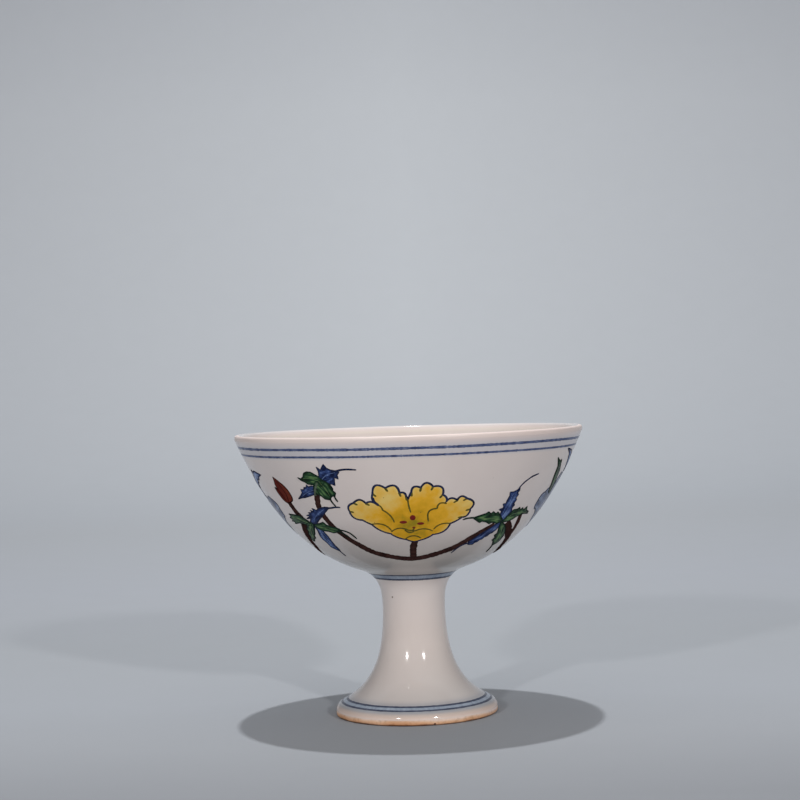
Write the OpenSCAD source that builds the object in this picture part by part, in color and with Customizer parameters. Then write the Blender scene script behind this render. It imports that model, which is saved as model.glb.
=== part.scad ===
// Porcelain stem cup: a flared bowl luted to a hollow stem with a spreading foot,
// glazed, ringed with cobalt lines and painted with a flower scroll in raised enamels.
// Sizes are in millimetres. The cup stands on Z = 0 and turns about the Z axis.
// The front of the scroll, a yellow flower, faces -Y.

/* [Cup] */
// Outside diameter of the lip
lip_d = 86; // [80:0.5:92]
// Height of the bowl, from the joint to the top of the lip
bowl_h = 36; // [34:0.2:39]
// Height of the stem, from the table to the joint
stem_h = 34.2; // [31:0.2:38]

/* [Bowl] */
// Finished wall at the lip
lip_wall = 1.9; // [1.5:0.1:2.4]
// Finished wall low on the bowl
low_wall = 2.7; // [2.2:0.1:3.2]
// Floor over the joint
floor_t = 4.2; // [3.2:0.1:5]
// Lean of the outside at the lip, from upright, in degrees
lip_lean = 23; // [18:1:28]
// Reach of the upper wall's curve, which fills out the shoulder
upper_reach = 19; // [17:0.5:21]
// Reach of the lower wall's curve, which fills out the bottom
lower_reach = 13; // [11:0.5:15]
// Diameter where the round of the bowl turns into the neck
turn_d = 28.5; // [26:0.5:31]
// Rise of that turn over the joint
turn_rise = 2.2; // [1.9:0.1:2.6]
// Lean of the outside at that turn, in degrees
turn_lean = 70.5; // [67:0.5:74]
// Reach of the curve down from that turn
turn_reach = 2.4; // [2:0.1:2.8]
// Reach of the curve up from the joint
joint_reach_up = 1.4; // [1.1:0.1:1.7]
// Reach of the curve that rounds the wall into the floor
floor_reach = 7; // [5:0.5:9]

/* [Stem and foot] */
// Diameter at the joint
neck_d = 20; // [18.5:0.5:22]
// Lean of the outside at the joint, in degrees
neck_lean = 44; // [39:1:49]
// Least diameter of the stem
waist_d = 15.5; // [14:0.25:17]
// Drop of the waist below the joint
waist_drop = 7.8; // [6.8:0.1:9]
// Reach of the curve down from the joint
joint_reach_down = 2.6; // [2.2:0.1:3]
// Reach of the curve up from the waist
waist_reach_up = 3.75; // [3:0.25:4.5]
// Outside diameter of the foot
foot_d = 40; // [36:0.5:44]
// Height of the rounded edge of the foot
edge_h = 3.2; // [2.8:0.1:3.8]
// Width of that rounded edge
edge_w = 1.1; // [0.8:0.1:1.4]
// Reach of the curve up from the glaze's end at the foot
edge_reach = 0.8; // [0.6:0.05:1]
// Reach of the curve down from the top of the rounded edge
shoulder_reach = 0.6; // [0.4:0.05:0.8]
// Slope of the foot at the rounded edge, from upright, in degrees
foot_slope = 64; // [60:1:68]
// Reach of the curve up from the foot
spread_reach = 9.2; // [8:0.2:10.4]
// Reach of the curve down from the waist
waist_reach_down = 12.2; // [11:0.2:13.6]
// Finished wall of the hollow stem
stem_wall = 2.6; // [2.2:0.1:3]
// Width of the ring that the foot stands on
ring_w = 3.2; // [2.6:0.1:4]
// Break of the ring's outer edge
ring_break = 0.4; // [0.2:0.1:0.6]
// Height of the bare clay at the foot
bare_h = 1.4; // [1:0.1:1.8]

/* [Joint] */
// Film of slip between the bowl and the stem
slip_t = 0.4; // [0.3:0.05:0.6]
// Height of the boss under the bowl, which centres it in the stem
boss_h = 2; // [1.4:0.1:3]

/* [Glaze and lines] */
// Thickness of the glaze
glaze_t = 0.3; // [0.2:0.05:0.4]
// Depth of the cobalt lines in the glaze
line_depth = 0.12; // [0.06:0.02:0.16]
// Width of a cobalt line
line_w = 0.6; // [0.4:0.05:0.8]
// Drop of the upper lip line below the lip's edge, along the wall
lip_line_drop = 1.6; // [1.2:0.1:2.2]
// Step between the two lip lines, along the wall
lip_line_step = 1.95; // [1.4:0.05:2.4]
// Place of the upper neck line over the joint, along the wall
neck_line_up = 1.35; // [1.1:0.05:1.7]
// Place of the lower neck line under the joint, along the wall
neck_line_down = 0.4; // [0.3:0.05:0.6]
// Place of the lower foot line over the rounded edge, along the wall
foot_line_up = 0.45; // [0.35:0.05:0.8]
// Step between the two foot lines, along the wall
foot_line_step = 1.5; // [1.1:0.05:1.9]

/* [Flower scroll] */
// Thickness of a coat of enamel
enamel_t = 0.1; // [0.06:0.01:0.14]
// Film under the first coat, which keeps its facets off the curved glaze
enamel_seat = 0.06; // [0.05:0.01:0.1]
// Film between one coat and the next
coat_gap = 0.02; // [0.02:0.01:0.04]
// Drop of a flower's heart below the lip's edge
flower_drop = 25.5; // [23:0.5:26.5]
// Length of the two upper petals
petal_len = 15; // [13:0.5:16]
// Length of the two side petals
side_petal_len = 17.5; // [15:0.5:19]
// Length of the slivers under the side petals
sliver_len = 9.5; // [8:0.5:11]
// Length of the sepals
sepal_len = 5.6; // [4.6:0.2:6.4]
// Length of the lowest sepal, over the stalk
base_len = 4; // [3.2:0.2:4.6]
// Rise of the upper stamen over a flower's heart
stamen_rise = 4.8; // [4:0.2:5.6]
// Width of the cobalt outline round a petal
outline_w = 0.45; // [0.3:0.05:0.6]
// Width of the vine
vine_w = 1.3; // [0.8:0.1:1.8]
// Drop of the lowest bend of the vine
vine_drop = 36; // [34.5:0.5:37]
// Drop of the leaf spray over the vine's upper end
spray_drop = 11; // [9.5:0.5:12.5]
// Drop of the leaf crosses between the flowers
cross_drop = 22; // [21:0.5:23]
// Length of a middling leaf with its tail
leaf_len = 10; // [8:0.5:11]
// Width of a leaf
leaf_w = 4; // [3:0.1:4.6]
// Width of a leaf's tail where it leaves the leaf
leaf_tail_w = 0.36; // [0.24:0.02:0.5]
// Step of a leaf's root from the middle of its cross
leaf_step = 1; // [0.8:0.1:1.2]
// Diameter of a stamen's dot
stamen_d = 1.2; // [0.8:0.1:1.6]
// Length of a bud
bud_len = 8; // [6:0.5:9]

/* [Hidden] */
$fn = 128;

cup_h = stem_h + bowl_h;
foot_r = foot_d / 2;
bore_r = waist_d / 2 - stem_wall + glaze_t;
boss_r = bore_r - slip_t;
boss_z = stem_h - boss_h;
ring_in_r = foot_r - ring_w;
// The scroll repeats every half turn: a yellow flower, a cross, a blue flower and a spray
REPEATS = [0, 180];
YELLOW_AT = 0;
BLUE_AT = 88;
// Clear of everything, for cutters, and how far a cut runs past a face
FAR = 200;
PAST = 2;

// Curves of the finished outside, each four control points in [radius, height], going up

// Unit direction up and outwards, leaning the given degrees from upright
function lean(a) = [sin(a), cos(a)];
function bez(c, t) = pow(1 - t, 3) * c[0] + 3 * pow(1 - t, 2) * t * c[1] + 3 * (1 - t) * t * t * c[2]
    + pow(t, 3) * c[3];
function bez_way(c, t) = let (d = pow(1 - t, 2) * (c[1] - c[0]) + 2 * (1 - t) * t * (c[2] - c[1])
    + t * t * (c[3] - c[2])) d / norm(d);
// Unit direction square to a curve, out of the clay when the curve is followed upwards
function bez_out(c, t) = let (d = bez_way(c, t)) [d[1], -d[0]];
function at_depth(c, t, depth) = bez(c, t) - depth * bez_out(c, t);
function backwards(list) = [for (i = [len(list) - 1 : -1 : 0]) list[i]];
// Pairs of distance along a curve from its start and share of the curve
ARC_STEPS = 60;
function arc_table(c) = [for (i = 0, s = 0; i <= ARC_STEPS;
    s = s + norm(bez(c, (i + 1) / ARC_STEPS) - bez(c, i / ARC_STEPS)), i = i + 1) [s, i / ARC_STEPS]];
// Share of a curve at a distance up from its start, or down from its end
function t_up(c, s) = lookup(s, arc_table(c));
function t_down(c, s) = 1 - lookup(s, arc_table(backwards(c)));

lip_mid = [lip_d / 2 - lip_wall / 2, cup_h - lip_wall / 2];
lip_edge = lip_mid + lip_wall / 2 * [cos(lip_lean), -sin(lip_lean)];
turn = [turn_d / 2, stem_h + turn_rise];
joint = [neck_d / 2, stem_h];
waist = [waist_d / 2, stem_h - waist_drop];
shoulder = [foot_r - edge_w, edge_h];

bowl_curve = [turn, turn + lower_reach * lean(turn_lean), lip_edge - upper_reach * lean(lip_lean), lip_edge];
neck_curve = [joint, joint + joint_reach_up * lean(neck_lean), turn - turn_reach * lean(turn_lean), turn];
stem_curve = [waist, waist + [0, waist_reach_up], joint - joint_reach_down * lean(neck_lean), joint];
foot_curve = [shoulder, shoulder + spread_reach * lean(-foot_slope), waist - [0, waist_reach_down], waist];
edge_curve = [
    [foot_r, bare_h], [foot_r, bare_h + edge_reach], shoulder - shoulder_reach * lean(-foot_slope), shoulder
];

// The inside follows the outside at the wall's thickness down to FLOOR_FROM, then rounds into the floor
FLOOR_FROM = 0.3;
function wall_at(t) = low_wall + (lip_wall - low_wall) * t;
floor_edge = at_depth(bowl_curve, FLOOR_FROM, wall_at(FLOOR_FROM));
floor_curve = [
    [0, stem_h + floor_t], [floor_edge[0] * 0.52, stem_h + floor_t],
    floor_edge - floor_reach * bez_way(bowl_curve, FLOOR_FROM), floor_edge
];

// Outline of the cup at a depth under its finished surface, from the glaze's end at the foot,
// up the outside, over the lip and down the inside to the middle of the floor
function along(c, n, depth) = [for (i = [0 : n - 1]) at_depth(c, i / n, depth)];
function over_lip(depth) = [for (i = [0 : 10])
    lip_mid + (lip_wall / 2 - depth) * [cos(18 * i - lip_lean), sin(18 * i - lip_lean)]];
function down_inside(depth) = [for (i = [23 : -1 : 1]) let (t = FLOOR_FROM + (1 - FLOOR_FROM) * i / 24)
    at_depth(bowl_curve, t, wall_at(t) - depth)];
function over_floor(depth) = [for (i = [12 : -1 : 1]) at_depth(floor_curve, i / 12, -depth)];
function skin(depth) = concat(
    along(edge_curve, 5, depth), along(foot_curve, 20, depth), along(stem_curve, 10, depth),
    along(neck_curve, 8, depth), along(bowl_curve, 28, depth), over_lip(depth), down_inside(depth),
    over_floor(depth), [[0, stem_h + floor_t - depth]]
);

// Clay of the bowl and the stem together, as one half section
module clay_section() {
    difference() {
        polygon(concat(
            [[0, 0], [foot_r - glaze_t - ring_break, 0], [foot_r - glaze_t, ring_break]],
            skin(glaze_t)
        ));
        hollow_section(0);
    }
}

// Hollow of the stem, drawn in by a depth of glaze
module hollow_section(depth) {
    wall = stem_wall - glaze_t + depth;
    top = boss_z - depth;
    foot_end = at_depth(foot_curve, 0, wall);
    intersection() {
        polygon(concat(
            [[0, -PAST], [foot_end[0], -PAST]],
            along(foot_curve, 20, wall),
            [waist - [wall, 0], [waist[0] - wall, top], [0, top]]
        ));
        translate([0, -PAST]) square([ring_in_r - depth, FAR]);
    }
}

// Half section of the glaze before the lines are laid in
module glaze_section() {
    polygon(concat(skin(0), backwards(skin(glaze_t))));
}

// A cut as wide as a brushed line, square to a curve
module line_cut(c, t) {
    mid = bez(c, t);
    half = line_w / 2 * bez_way(c, t);
    deep = -line_depth * bez_out(c, t);
    proud = PAST * bez_out(c, t);
    polygon([mid - half + deep, mid - half + proud, mid + half + proud, mid + half + deep]);
}

module lip_line_cuts() {
    line_cut(bowl_curve, wall_t(lip_line_drop));
    line_cut(bowl_curve, wall_t(lip_line_drop + lip_line_step));
}

module neck_line_cuts() {
    line_cut(neck_curve, t_up(neck_curve, neck_line_up));
    line_cut(stem_curve, t_down(stem_curve, neck_line_down));
}

module foot_line_cuts() {
    line_cut(foot_curve, t_up(foot_curve, foot_line_up));
    line_cut(foot_curve, t_up(foot_curve, foot_line_up + foot_line_step));
}

// Places on the painted outside of the bowl

// Share of the bowl's curve at a drop below the lip's edge, measured along the wall
drop_table = arc_table(backwards(bowl_curve));
function wall_t(drop) = 1 - lookup(drop, drop_table);
function wall_r(drop) = bez(bowl_curve, wall_t(drop))[0];
// Point at [degrees right of the front, drop], moved by xy millimetres right and up, lifted off the glaze
function on_wall(at, xy, lift) = let (
    drop = at[1] - xy[1],
    p = at_depth(bowl_curve, wall_t(drop), -lift),
    a = at[0] + xy[0] / wall_r(drop) * 180 / PI
) [p[0] * sin(a), -p[0] * cos(a), p[1]];
// Right and up, for a heading in degrees from up towards the right
function heading(a) = [sin(a), cos(a)];
function right_of(way) = [way[1], -way[0]];

// Coats in the order they are brushed on
STROKE_COAT = 0;
FILL_COAT = 1;
OVER_COAT = 2;

// Closed patch of enamel over a grid of [place, xy] points: rows go forwards, columns to the right
module enamel(grid, coat) {
    low = enamel_seat + coat * (enamel_t + coat_gap);
    rows = len(grid);
    cols = len(grid[0]);
    count = rows * cols;
    top = [for (row = grid) for (g = row) on_wall(g[0], g[1], low + enamel_t)];
    under = [for (row = grid) for (g = row) on_wall(g[0], g[1], low)];
    cells = [for (j = [0 : rows - 2]) for (k = [0 : cols - 2]) j * cols + k];
    faces_up = [for (i = cells) each [[i, i + cols, i + cols + 1], [i, i + cols + 1, i + 1]]];
    faces_down = [for (f = faces_up) [f[2] + count, f[1] + count, f[0] + count]];
    rim = concat(
        [for (k = [0 : cols - 2]) k],
        [for (j = [0 : rows - 2]) j * cols + cols - 1],
        [for (k = [cols - 1 : -1 : 1]) (rows - 1) * cols + k],
        [for (j = [rows - 1 : -1 : 1]) j * cols]
    );
    last = len(rim);
    sides = [for (i = [0 : last - 1]) let (a = rim[i], b = rim[(i + 1) % last])
        each [[a, b, b + count], [a, b + count, a + count]]];
    polyhedron(points = concat(top, under), faces = concat(faces_up, faces_down, sides), convexity = 6);
}

// Petals of one flower: [heading, length, half spread in degrees, scallops]
PETALS = [
    [-25, 0.99 * petal_len, 21, 3], [19, 1.01 * petal_len, 21, 3], [-62, 0.98 * side_petal_len, 13.5, 3],
    [60, 1.02 * side_petal_len, 14, 3], [-86, sliver_len, 8, 1], [84, sliver_len, 8, 1],
    [-124, sepal_len, 26, 1], [122, sepal_len, 26, 1], [179, base_len, 27, 1]
];
// Places of the stamens' dots over the heart of a flower
STAMENS = stamen_rise * [[0.04, 1], [-0.44, 0.75], [0.48, 0.65]];
PETAL_COLS = 12;
// Reach of a petal at a share of its spread: full in the middle, scalloped along the edge
function petal_reach(petal, k) = let (u = 2 * k - 1)
    petal[1] * (1 - 0.22 * u * u) * (0.91 + 0.09 * abs(cos(90 * petal[3] * u)));
function petal_point(at, petal, k, near) = let (reach = petal_reach(petal, k) - near)
    [at, reach * heading(petal[0] + petal[2] * (2 * k - 1))];
function petal_row(at, petal, share) = [for (k = [0 : PETAL_COLS]) let (p = k / PETAL_COLS)
    [at, share * petal_point(at, petal, p, outline_w * 1.5)[1]]];

module flower_petals(at) {
    for (petal = PETALS) enamel([for (share = [0.16, 0.6, 1]) petal_row(at, petal, share)], FILL_COAT);
}

module flower_outlines(at) {
    for (petal = PETALS) enamel([for (near = [outline_w, 0])
        [for (k = [0 : PETAL_COLS]) petal_point(at, petal, k / PETAL_COLS, near)]], FILL_COAT);
}

// A leaf: [root, heading, share of leaf_len, bend in degrees], toothed along its sides and drawn out to a tail
LEAF_STEPS = 12;
LEAF_TAIL = 0.72;
function leaf_spine(leaf, s) = leaf_len * leaf[2] * s * heading(leaf[1] + leaf[3] * s);
function leaf_half(s, i) = let (body = s < LEAF_TAIL ? sin(180 * pow(s / LEAF_TAIL, 0.8)) : 0)
    max(leaf_w / 2 * body * (i % 2 == 1 ? 1 : 0.68), leaf_tail_w * (0.9 - 0.55 * s));
function leaf_grid(leaf) = [for (i = [0 : LEAF_STEPS]) let (
    s = i / LEAF_STEPS,
    mid = leaf_spine(leaf, s),
    way = leaf_spine(leaf, s + 0.01) - leaf_spine(leaf, s - 0.01),
    across = right_of(way / norm(way)) * leaf_half(s, i)
) [[leaf[0], mid - across], [leaf[0], mid], [leaf[0], mid + across]]];

// Leaves spring from the cross right of a yellow flower, the cross and the spray left of it,
// and the top of a blue flower
right_cross = [43, cross_drop];
left_cross = [-47.5, cross_drop - 0.5 * leaf_step];
spray = [-35, spray_drop];
over_blue = flower_drop - 0.7 * petal_len;
// Place beside another, by degrees to the right and leaf steps down
function beside(at, a, steps) = at + [a, steps * leaf_step];
// Each row: root, heading, share of leaf_len, bend
GREEN_LEAVES = [
    [beside(right_cross, -2.5, 0.5), -84, 1.05, -10],
    [beside(right_cross, 3, 0), 80, 0.9, 10],
    [beside(right_cross, 1.5, 2.5), 146, 1.05, 30],
    [beside(left_cross, -3.5, -0.5), -88, 0.65, -8],
    [beside(left_cross, 4.5, 1), 112, 1.1, 6],
    [beside(left_cross, -1, 2.5), -146, 0.65, -8],
    [beside(spray, -2, -0.8), -70, 0.55, -10],
    [beside(spray, 1.5, 1.2), 132, 0.75, 10],
    [[BLUE_AT - 20, over_blue], -6, 0.95, -12]
];
BLUE_LEAVES = [
    [beside(right_cross, 1, -2), 22, 1.4, 12],
    [beside(right_cross, -2, 2.5), -138, 1.35, 6],
    [beside(left_cross, 2, -1.5), 68, 1.1, 10],
    [beside(left_cross, 1.5, 3), 172, 1.2, -6],
    [beside(spray, 1, -1.2), 52, 1.3, 30],
    [beside(spray, -3, 2.8), -112, 0.55, 8],
    [beside([BLUE_AT, over_blue], 0, -4), -16, 0.75, -40],
    [beside([BLUE_AT, over_blue], 13, -3.7), 62, 1, 16]
];

// Runs of the vine in [degrees, drop], chosen points that a smooth curve passes through
function vine_at(a, share) = [a, spray_drop + share * (vine_drop - spray_drop)];
YELLOW_VINE = [
    vine_at(-35.5, 0.06), vine_at(-37.5, 0.22), vine_at(-38.2, 0.39), vine_at(-34.3, 0.56),
    vine_at(-28.5, 0.72), vine_at(-19, 0.9), vine_at(1, 1), vine_at(21, 0.87), vine_at(31.5, 0.69),
    beside(right_cross, -5, 3)
];
BLUE_VINE = [
    beside(right_cross, 13.5, 1.5), vine_at(59, 0.66), vine_at(65, 0.83), vine_at(75, 0.96), vine_at(88, 1),
    vine_at(102, 0.94), vine_at(114, 0.78), vine_at(121, 0.64), beside(left_cross + [180, 0], -7.5, 2.5)
];
BLUE_FORK = [beside(right_cross, 5.5, 3), vine_at(52.5, 0.66), vine_at(57.5, 0.76)];
BUD_STALK = [beside(left_cross, -2.5, -2), vine_at(-51, 0.28), vine_at(-52, 0.19)];
function flower_stalk(a) = let (top = flower_drop + 1.15 * base_len)
    [[a, vine_drop - vine_w], [a - 0.6, (vine_drop - vine_w + top) / 2], [a, top]];

VINE_STEPS = 6;
function smooth(p, i, t) = let (
    n = len(p) - 1,
    a = p[max(i - 1, 0)],
    b = p[i],
    c = p[min(i + 1, n)],
    d = p[min(i + 2, n)]
) 0.5 * (2 * b + (c - a) * t + (2 * a - 5 * b + 4 * c - d) * t * t + (3 * b - a - 3 * c + d) * pow(t, 3));
function run(p) = concat(
    [for (i = [0 : len(p) - 2]) for (j = [0 : VINE_STEPS - 1]) smooth(p, i, j / VINE_STEPS)],
    [p[len(p) - 1]]
);
// Way along a run in millimetres right and up
function run_way(path, i) = let (
    a = path[max(i - 1, 0)],
    b = path[min(i + 1, len(path) - 1)],
    way = [(b[0] - a[0]) * PI / 180 * wall_r(path[i][1]), a[1] - b[1]]
) way / norm(way);

module ribbon(points, width, turned) {
    path = run(points);
    enamel([for (i = [0 : len(path) - 1]) let (
        at = path[i] + [turned, 0],
        across = width / 2 * right_of(run_way(path, i))
    ) [[at, -across], [at, across]]], STROKE_COAT);
}

BUD_HEADING = -38;
BUD_STEPS = 8;
module bud(turned) {
    at = BUD_STALK[2] + [turned, -0.3 * vine_w];
    side = right_of(heading(BUD_HEADING));
    enamel([for (i = [0 : BUD_STEPS]) let (
        s = i / BUD_STEPS,
        mid = bud_len * s * heading(BUD_HEADING),
        across = bud_len * max(0.21 * sin(180 * pow(s, 0.7)), 0.03) * side
    ) [[at, mid - across], [at, mid], [at, mid + across]]], FILL_COAT);
}

module dot(at, xy, d) {
    enamel([for (row = [-1 : 0.5 : 1]) let (half = max(sqrt(1 - row * row), 0.2))
        [[at, xy + d / 2 * [-half, row]], [at, xy + d / 2 * [half, row]]]], OVER_COAT);
}

// Sub-parts

module bowl() {
    color([0.93, 0.90, 0.86])
        rotate_extrude() intersection() {
            clay_section();
            polygon([
                [0, boss_z], [boss_r, boss_z], [boss_r, stem_h], [FAR, stem_h], [FAR, FAR], [0, FAR]
            ]);
        }
}

module stem() {
    color([0.93, 0.90, 0.86])
        rotate_extrude() intersection() {
            clay_section();
            polygon([
                [0, -PAST], [FAR, -PAST], [FAR, stem_h - slip_t], [bore_r, stem_h - slip_t], [bore_r, boss_z],
                [0, boss_z]
            ]);
        }
}

module luting_slip() {
    color([0.88, 0.84, 0.78])
        rotate_extrude() intersection() {
            clay_section();
            polygon([
                [boss_r, boss_z], [bore_r, boss_z], [bore_r, stem_h - slip_t], [FAR, stem_h - slip_t],
                [FAR, stem_h], [boss_r, stem_h]
            ]);
        }
}

module glaze() {
    color([0.91, 0.88, 0.85])
        rotate_extrude() difference() {
            glaze_section();
            lip_line_cuts();
            neck_line_cuts();
            foot_line_cuts();
        }
}

module hollow_glaze() {
    color([0.91, 0.88, 0.85])
        rotate_extrude() difference() {
            hollow_section(0);
            hollow_section(glaze_t);
            translate([0, -PAST]) square([FAR, bare_h + PAST]);
        }
}

module lip_lines() {
    color([0.28, 0.32, 0.50])
        rotate_extrude() intersection() {
            glaze_section();
            lip_line_cuts();
        }
}

module neck_lines() {
    color([0.33, 0.37, 0.47])
        rotate_extrude() intersection() {
            glaze_section();
            neck_line_cuts();
        }
}

module foot_lines() {
    color([0.33, 0.38, 0.50])
        rotate_extrude() intersection() {
            glaze_section();
            foot_line_cuts();
        }
}

module petal_outlines() {
    color([0.20, 0.24, 0.40])
        for (turned = REPEATS) for (a = [YELLOW_AT, BLUE_AT]) flower_outlines([a + turned, flower_drop]);
}

module yellow_petals() {
    color([0.86, 0.65, 0.20])
        for (turned = REPEATS) flower_petals([YELLOW_AT + turned, flower_drop]);
}

module blue_petals() {
    color([0.45, 0.54, 0.72])
        for (turned = REPEATS) flower_petals([BLUE_AT + turned, flower_drop]);
}

module stamens() {
    color([0.75, 0.22, 0.15])
        for (turned = REPEATS) for (a = [YELLOW_AT, BLUE_AT]) for (xy = STAMENS)
            dot([a + turned, flower_drop], xy, stamen_d);
}

module vine() {
    color([0.20, 0.12, 0.10])
        for (turned = REPEATS) {
            ribbon(YELLOW_VINE, vine_w, turned);
            ribbon(BLUE_VINE, vine_w, turned);
            ribbon(BLUE_FORK, vine_w * 0.9, turned);
            ribbon(flower_stalk(YELLOW_AT), vine_w * 0.8, turned);
            ribbon(flower_stalk(BLUE_AT), vine_w * 0.8, turned);
            ribbon(BUD_STALK, vine_w * 0.5, turned);
        }
}

module green_leaves() {
    color([0.33, 0.50, 0.38])
        for (turned = REPEATS) for (leaf = GREEN_LEAVES)
            enamel(leaf_grid([leaf[0] + [turned, 0], leaf[1], leaf[2], leaf[3]]), OVER_COAT);
}

module blue_leaves() {
    color([0.36, 0.44, 0.66])
        for (turned = REPEATS) for (leaf = BLUE_LEAVES)
            enamel(leaf_grid([leaf[0] + [turned, 0], leaf[1], leaf[2], leaf[3]]), FILL_COAT);
}

module red_buds() {
    color([0.72, 0.26, 0.17])
        for (turned = REPEATS) bud(turned);
}

bowl();
stem();
luting_slip();
glaze();
hollow_glaze();
lip_lines();
neck_lines();
foot_lines();
petal_outlines();
yellow_petals();
blue_petals();
stamens();
vine();
green_leaves();
blue_leaves();
red_buds();
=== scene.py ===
"""Looks of a porcelain stem cup: glaze, bare foot, cobalt lines and a painted flower scroll."""
import math
from bisect import bisect_right

import bpy
from mathutils import Matrix, Vector, noise
from mathutils.geometry import delaunay_2d_cdt


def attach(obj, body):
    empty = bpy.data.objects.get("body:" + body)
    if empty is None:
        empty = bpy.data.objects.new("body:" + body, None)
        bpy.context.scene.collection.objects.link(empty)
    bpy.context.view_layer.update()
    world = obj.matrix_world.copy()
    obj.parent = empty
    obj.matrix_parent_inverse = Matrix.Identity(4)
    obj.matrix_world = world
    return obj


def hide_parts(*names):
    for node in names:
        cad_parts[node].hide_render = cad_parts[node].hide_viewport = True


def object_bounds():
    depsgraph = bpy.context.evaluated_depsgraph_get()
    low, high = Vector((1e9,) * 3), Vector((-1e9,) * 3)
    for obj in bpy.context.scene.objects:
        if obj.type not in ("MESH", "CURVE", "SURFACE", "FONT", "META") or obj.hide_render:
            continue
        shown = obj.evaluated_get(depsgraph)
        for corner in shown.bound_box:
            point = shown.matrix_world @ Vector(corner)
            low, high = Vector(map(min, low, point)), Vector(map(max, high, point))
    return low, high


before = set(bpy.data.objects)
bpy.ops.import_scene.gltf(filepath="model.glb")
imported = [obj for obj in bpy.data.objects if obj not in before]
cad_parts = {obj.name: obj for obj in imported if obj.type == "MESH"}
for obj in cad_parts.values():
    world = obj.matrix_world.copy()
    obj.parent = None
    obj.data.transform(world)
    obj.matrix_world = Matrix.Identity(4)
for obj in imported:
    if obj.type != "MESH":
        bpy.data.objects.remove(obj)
CAD_LOW, CAD_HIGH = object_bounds()

# Lengths are millimetres and angles degrees, up to the mesh makers, which turn them into metres.
MM = 0.001

# Bowl, from the frame's box
CUP_H = CAD_HIGH[2] / MM
LIP_R = min(CAD_HIGH[0], CAD_HIGH[1], -CAD_LOW[0], -CAD_LOW[1]) / MM
STEM_H = 34.2
LIP_WALL = 1.9
LIP_FULL = 0.5
LOW_WALL = 2.7
FLOOR_T = 4.2
LIP_LEAN = 23
TURN_LEAN = 70.5
UPPER_REACH = 19
LOWER_REACH = 13
TURN_R = 14.25
TURN_RISE = 2.2
TURN_REACH = 2.4
FLOOR_FROM = 0.3
FLOOR_REACH = 7
FLOOR_FLAT = 0.52

# Stem and foot
NECK_R = 10
NECK_LEAN = 44
NECK_REACH_UP = 1.4
NECK_REACH_DOWN = 2.6
WAIST_R = 7.75
WAIST_DROP = 7.8
WAIST_REACH_UP = 3.75
WAIST_REACH_DOWN = 12.2
FOOT_R = 20
EDGE_H = 3.2
EDGE_W = 1.1
EDGE_REACH = 0.8
SHOULDER_REACH = 0.6
FOOT_SLOPE = 64
SPREAD_REACH = 9.2
STEM_WALL = 2.6
RING_W = 3.2
RING_BREAK = 0.4
BARE_H = 1.4
GLAZE_T = 0.3

# Hand-made unevenness, always inwards, so that the cup stays inside its box
SWAY = 0.05
# How many waves go round the cup, their share of the sway and their start in radians
SWAY_WAVES = ((2, 0.6, 0.7), (3, 0.4, 2.1))
LIP_DIP = 0.12
DIP_WAVES = 2
DIP_START = 1.9
DIP_POWER = 4

# Cobalt lines: distances along the wall
LIP_LINE_WIDTHS = (0.67, 0.55)
LOW_LINE_W = 0.66
LIP_LINE_DROPS = (1.7, 3.6)
NECK_LINE_UP = 1.5
NECK_LINE_DOWN = 0.32
FOOT_LINE_UP = 0.45
FOOT_LINE_STEP = 1.5
LIP_LINE_WANDER = 0.12
LOW_LINE_WANDER = 0.06
WASH_WANDER = 0.03
LIP_LINE_ROUGH = 0.4

# Enamel: heights over the glaze
EDGE_LIFT = 0.008
BURIED = -0.05
INK_LIFT = 0.03
WASH_LIFT = 0.015
VINE_LIFT = 0.04
BLUE_LIFT = 0.055
GREEN_LIFT = 0.09
SPRAY_STALK_LIFT = 0.14
LEAF_STEP = 0.004
VEIN_RISE = 0.01
LEAF_EDGE_RISE = 0.02
ENAMEL_LIFT = 0.055
LINE_OVER = 0.08
DOT_LIFT = 0.095
# Share of its lift that a patch has at its edge
RIM_RISE = 0.35

# Spacing of the points in patches, leaves and strokes
PATCH_STEP = 0.7
LEAF_GRID = 0.4
STROKE_STEP = 0.3
# A patch's ring of points inside its edge, and its staggered grid in shares of the spacing
RIM_INSET = 0.22
RIM_CLEAR = 0.15
GRID_CLEAR = 0.55
GRID_ROW = 0.87
# Points closer than this are one
MERGE = 1e-4
TINY = 1e-6

# Brush: how much a stroke's width and tone change, and how quickly along it
STROKE_WAVER = 0.16
STROKE_ROUGH = 0.14
STROKE_TONE = 0.5
TONE_SWING = 0.35
WAVER_PACE = 0.9
ROUGH_PACE = 3.1
SLOW_PACE = 0.5
QUICK_PACE = 2.4
# A stroke thins towards its ends over this share of its length, along a power curve
TAPER_RUN = 0.2
TAPER_POWER = 0.7

# The scroll: places are (degrees right of the front, drop below the lip along the wall)
YELLOW_AT = (0, 25.5)
BLUE_AT = (88, 25.5)
SPRAY = (-35, 11)
LEFT_CROSS = (-47.5, 21.5)
RIGHT_CROSS = (43, 22)
REPEATS = (0, 180)
VINE_W = 1.6
LOW_FROM = 22
VINE_SWELL = 0.037
BUD_STALK_W = 2.1
TRUNK_W = 2.2
FORK_W = 1.6
SPRAY_STALK_W = 0.7
OUTLINE_W = 0.62
BASE_LINE_W = 0.58
INNER_LINE_W = 0.6
TICK_W = 0.75
TICK_LEN = 1.1
TAIL_W = 0.5
LEAF_EDGE_W = 0.3
VEIN_W = 0.26
BUD_LINE_W = 0.4

# Edges sharper than this angle stay crisp
SHARP_ANGLE = 50

# Camera
LENS = 86.35
CLIP_START = 0.01
CAMERA_AT = (0, -0.476, 0.084)
CAMERA_YAW = -0.213
CAMERA_PITCH = 0.77
CAMERA_ROLL = 1.87


# Curves

def lean(angle):
    """Unit step (r, z) upwards, leaning outwards by an angle."""
    return Vector((math.sin(math.radians(angle)), math.cos(math.radians(angle))))


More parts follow.
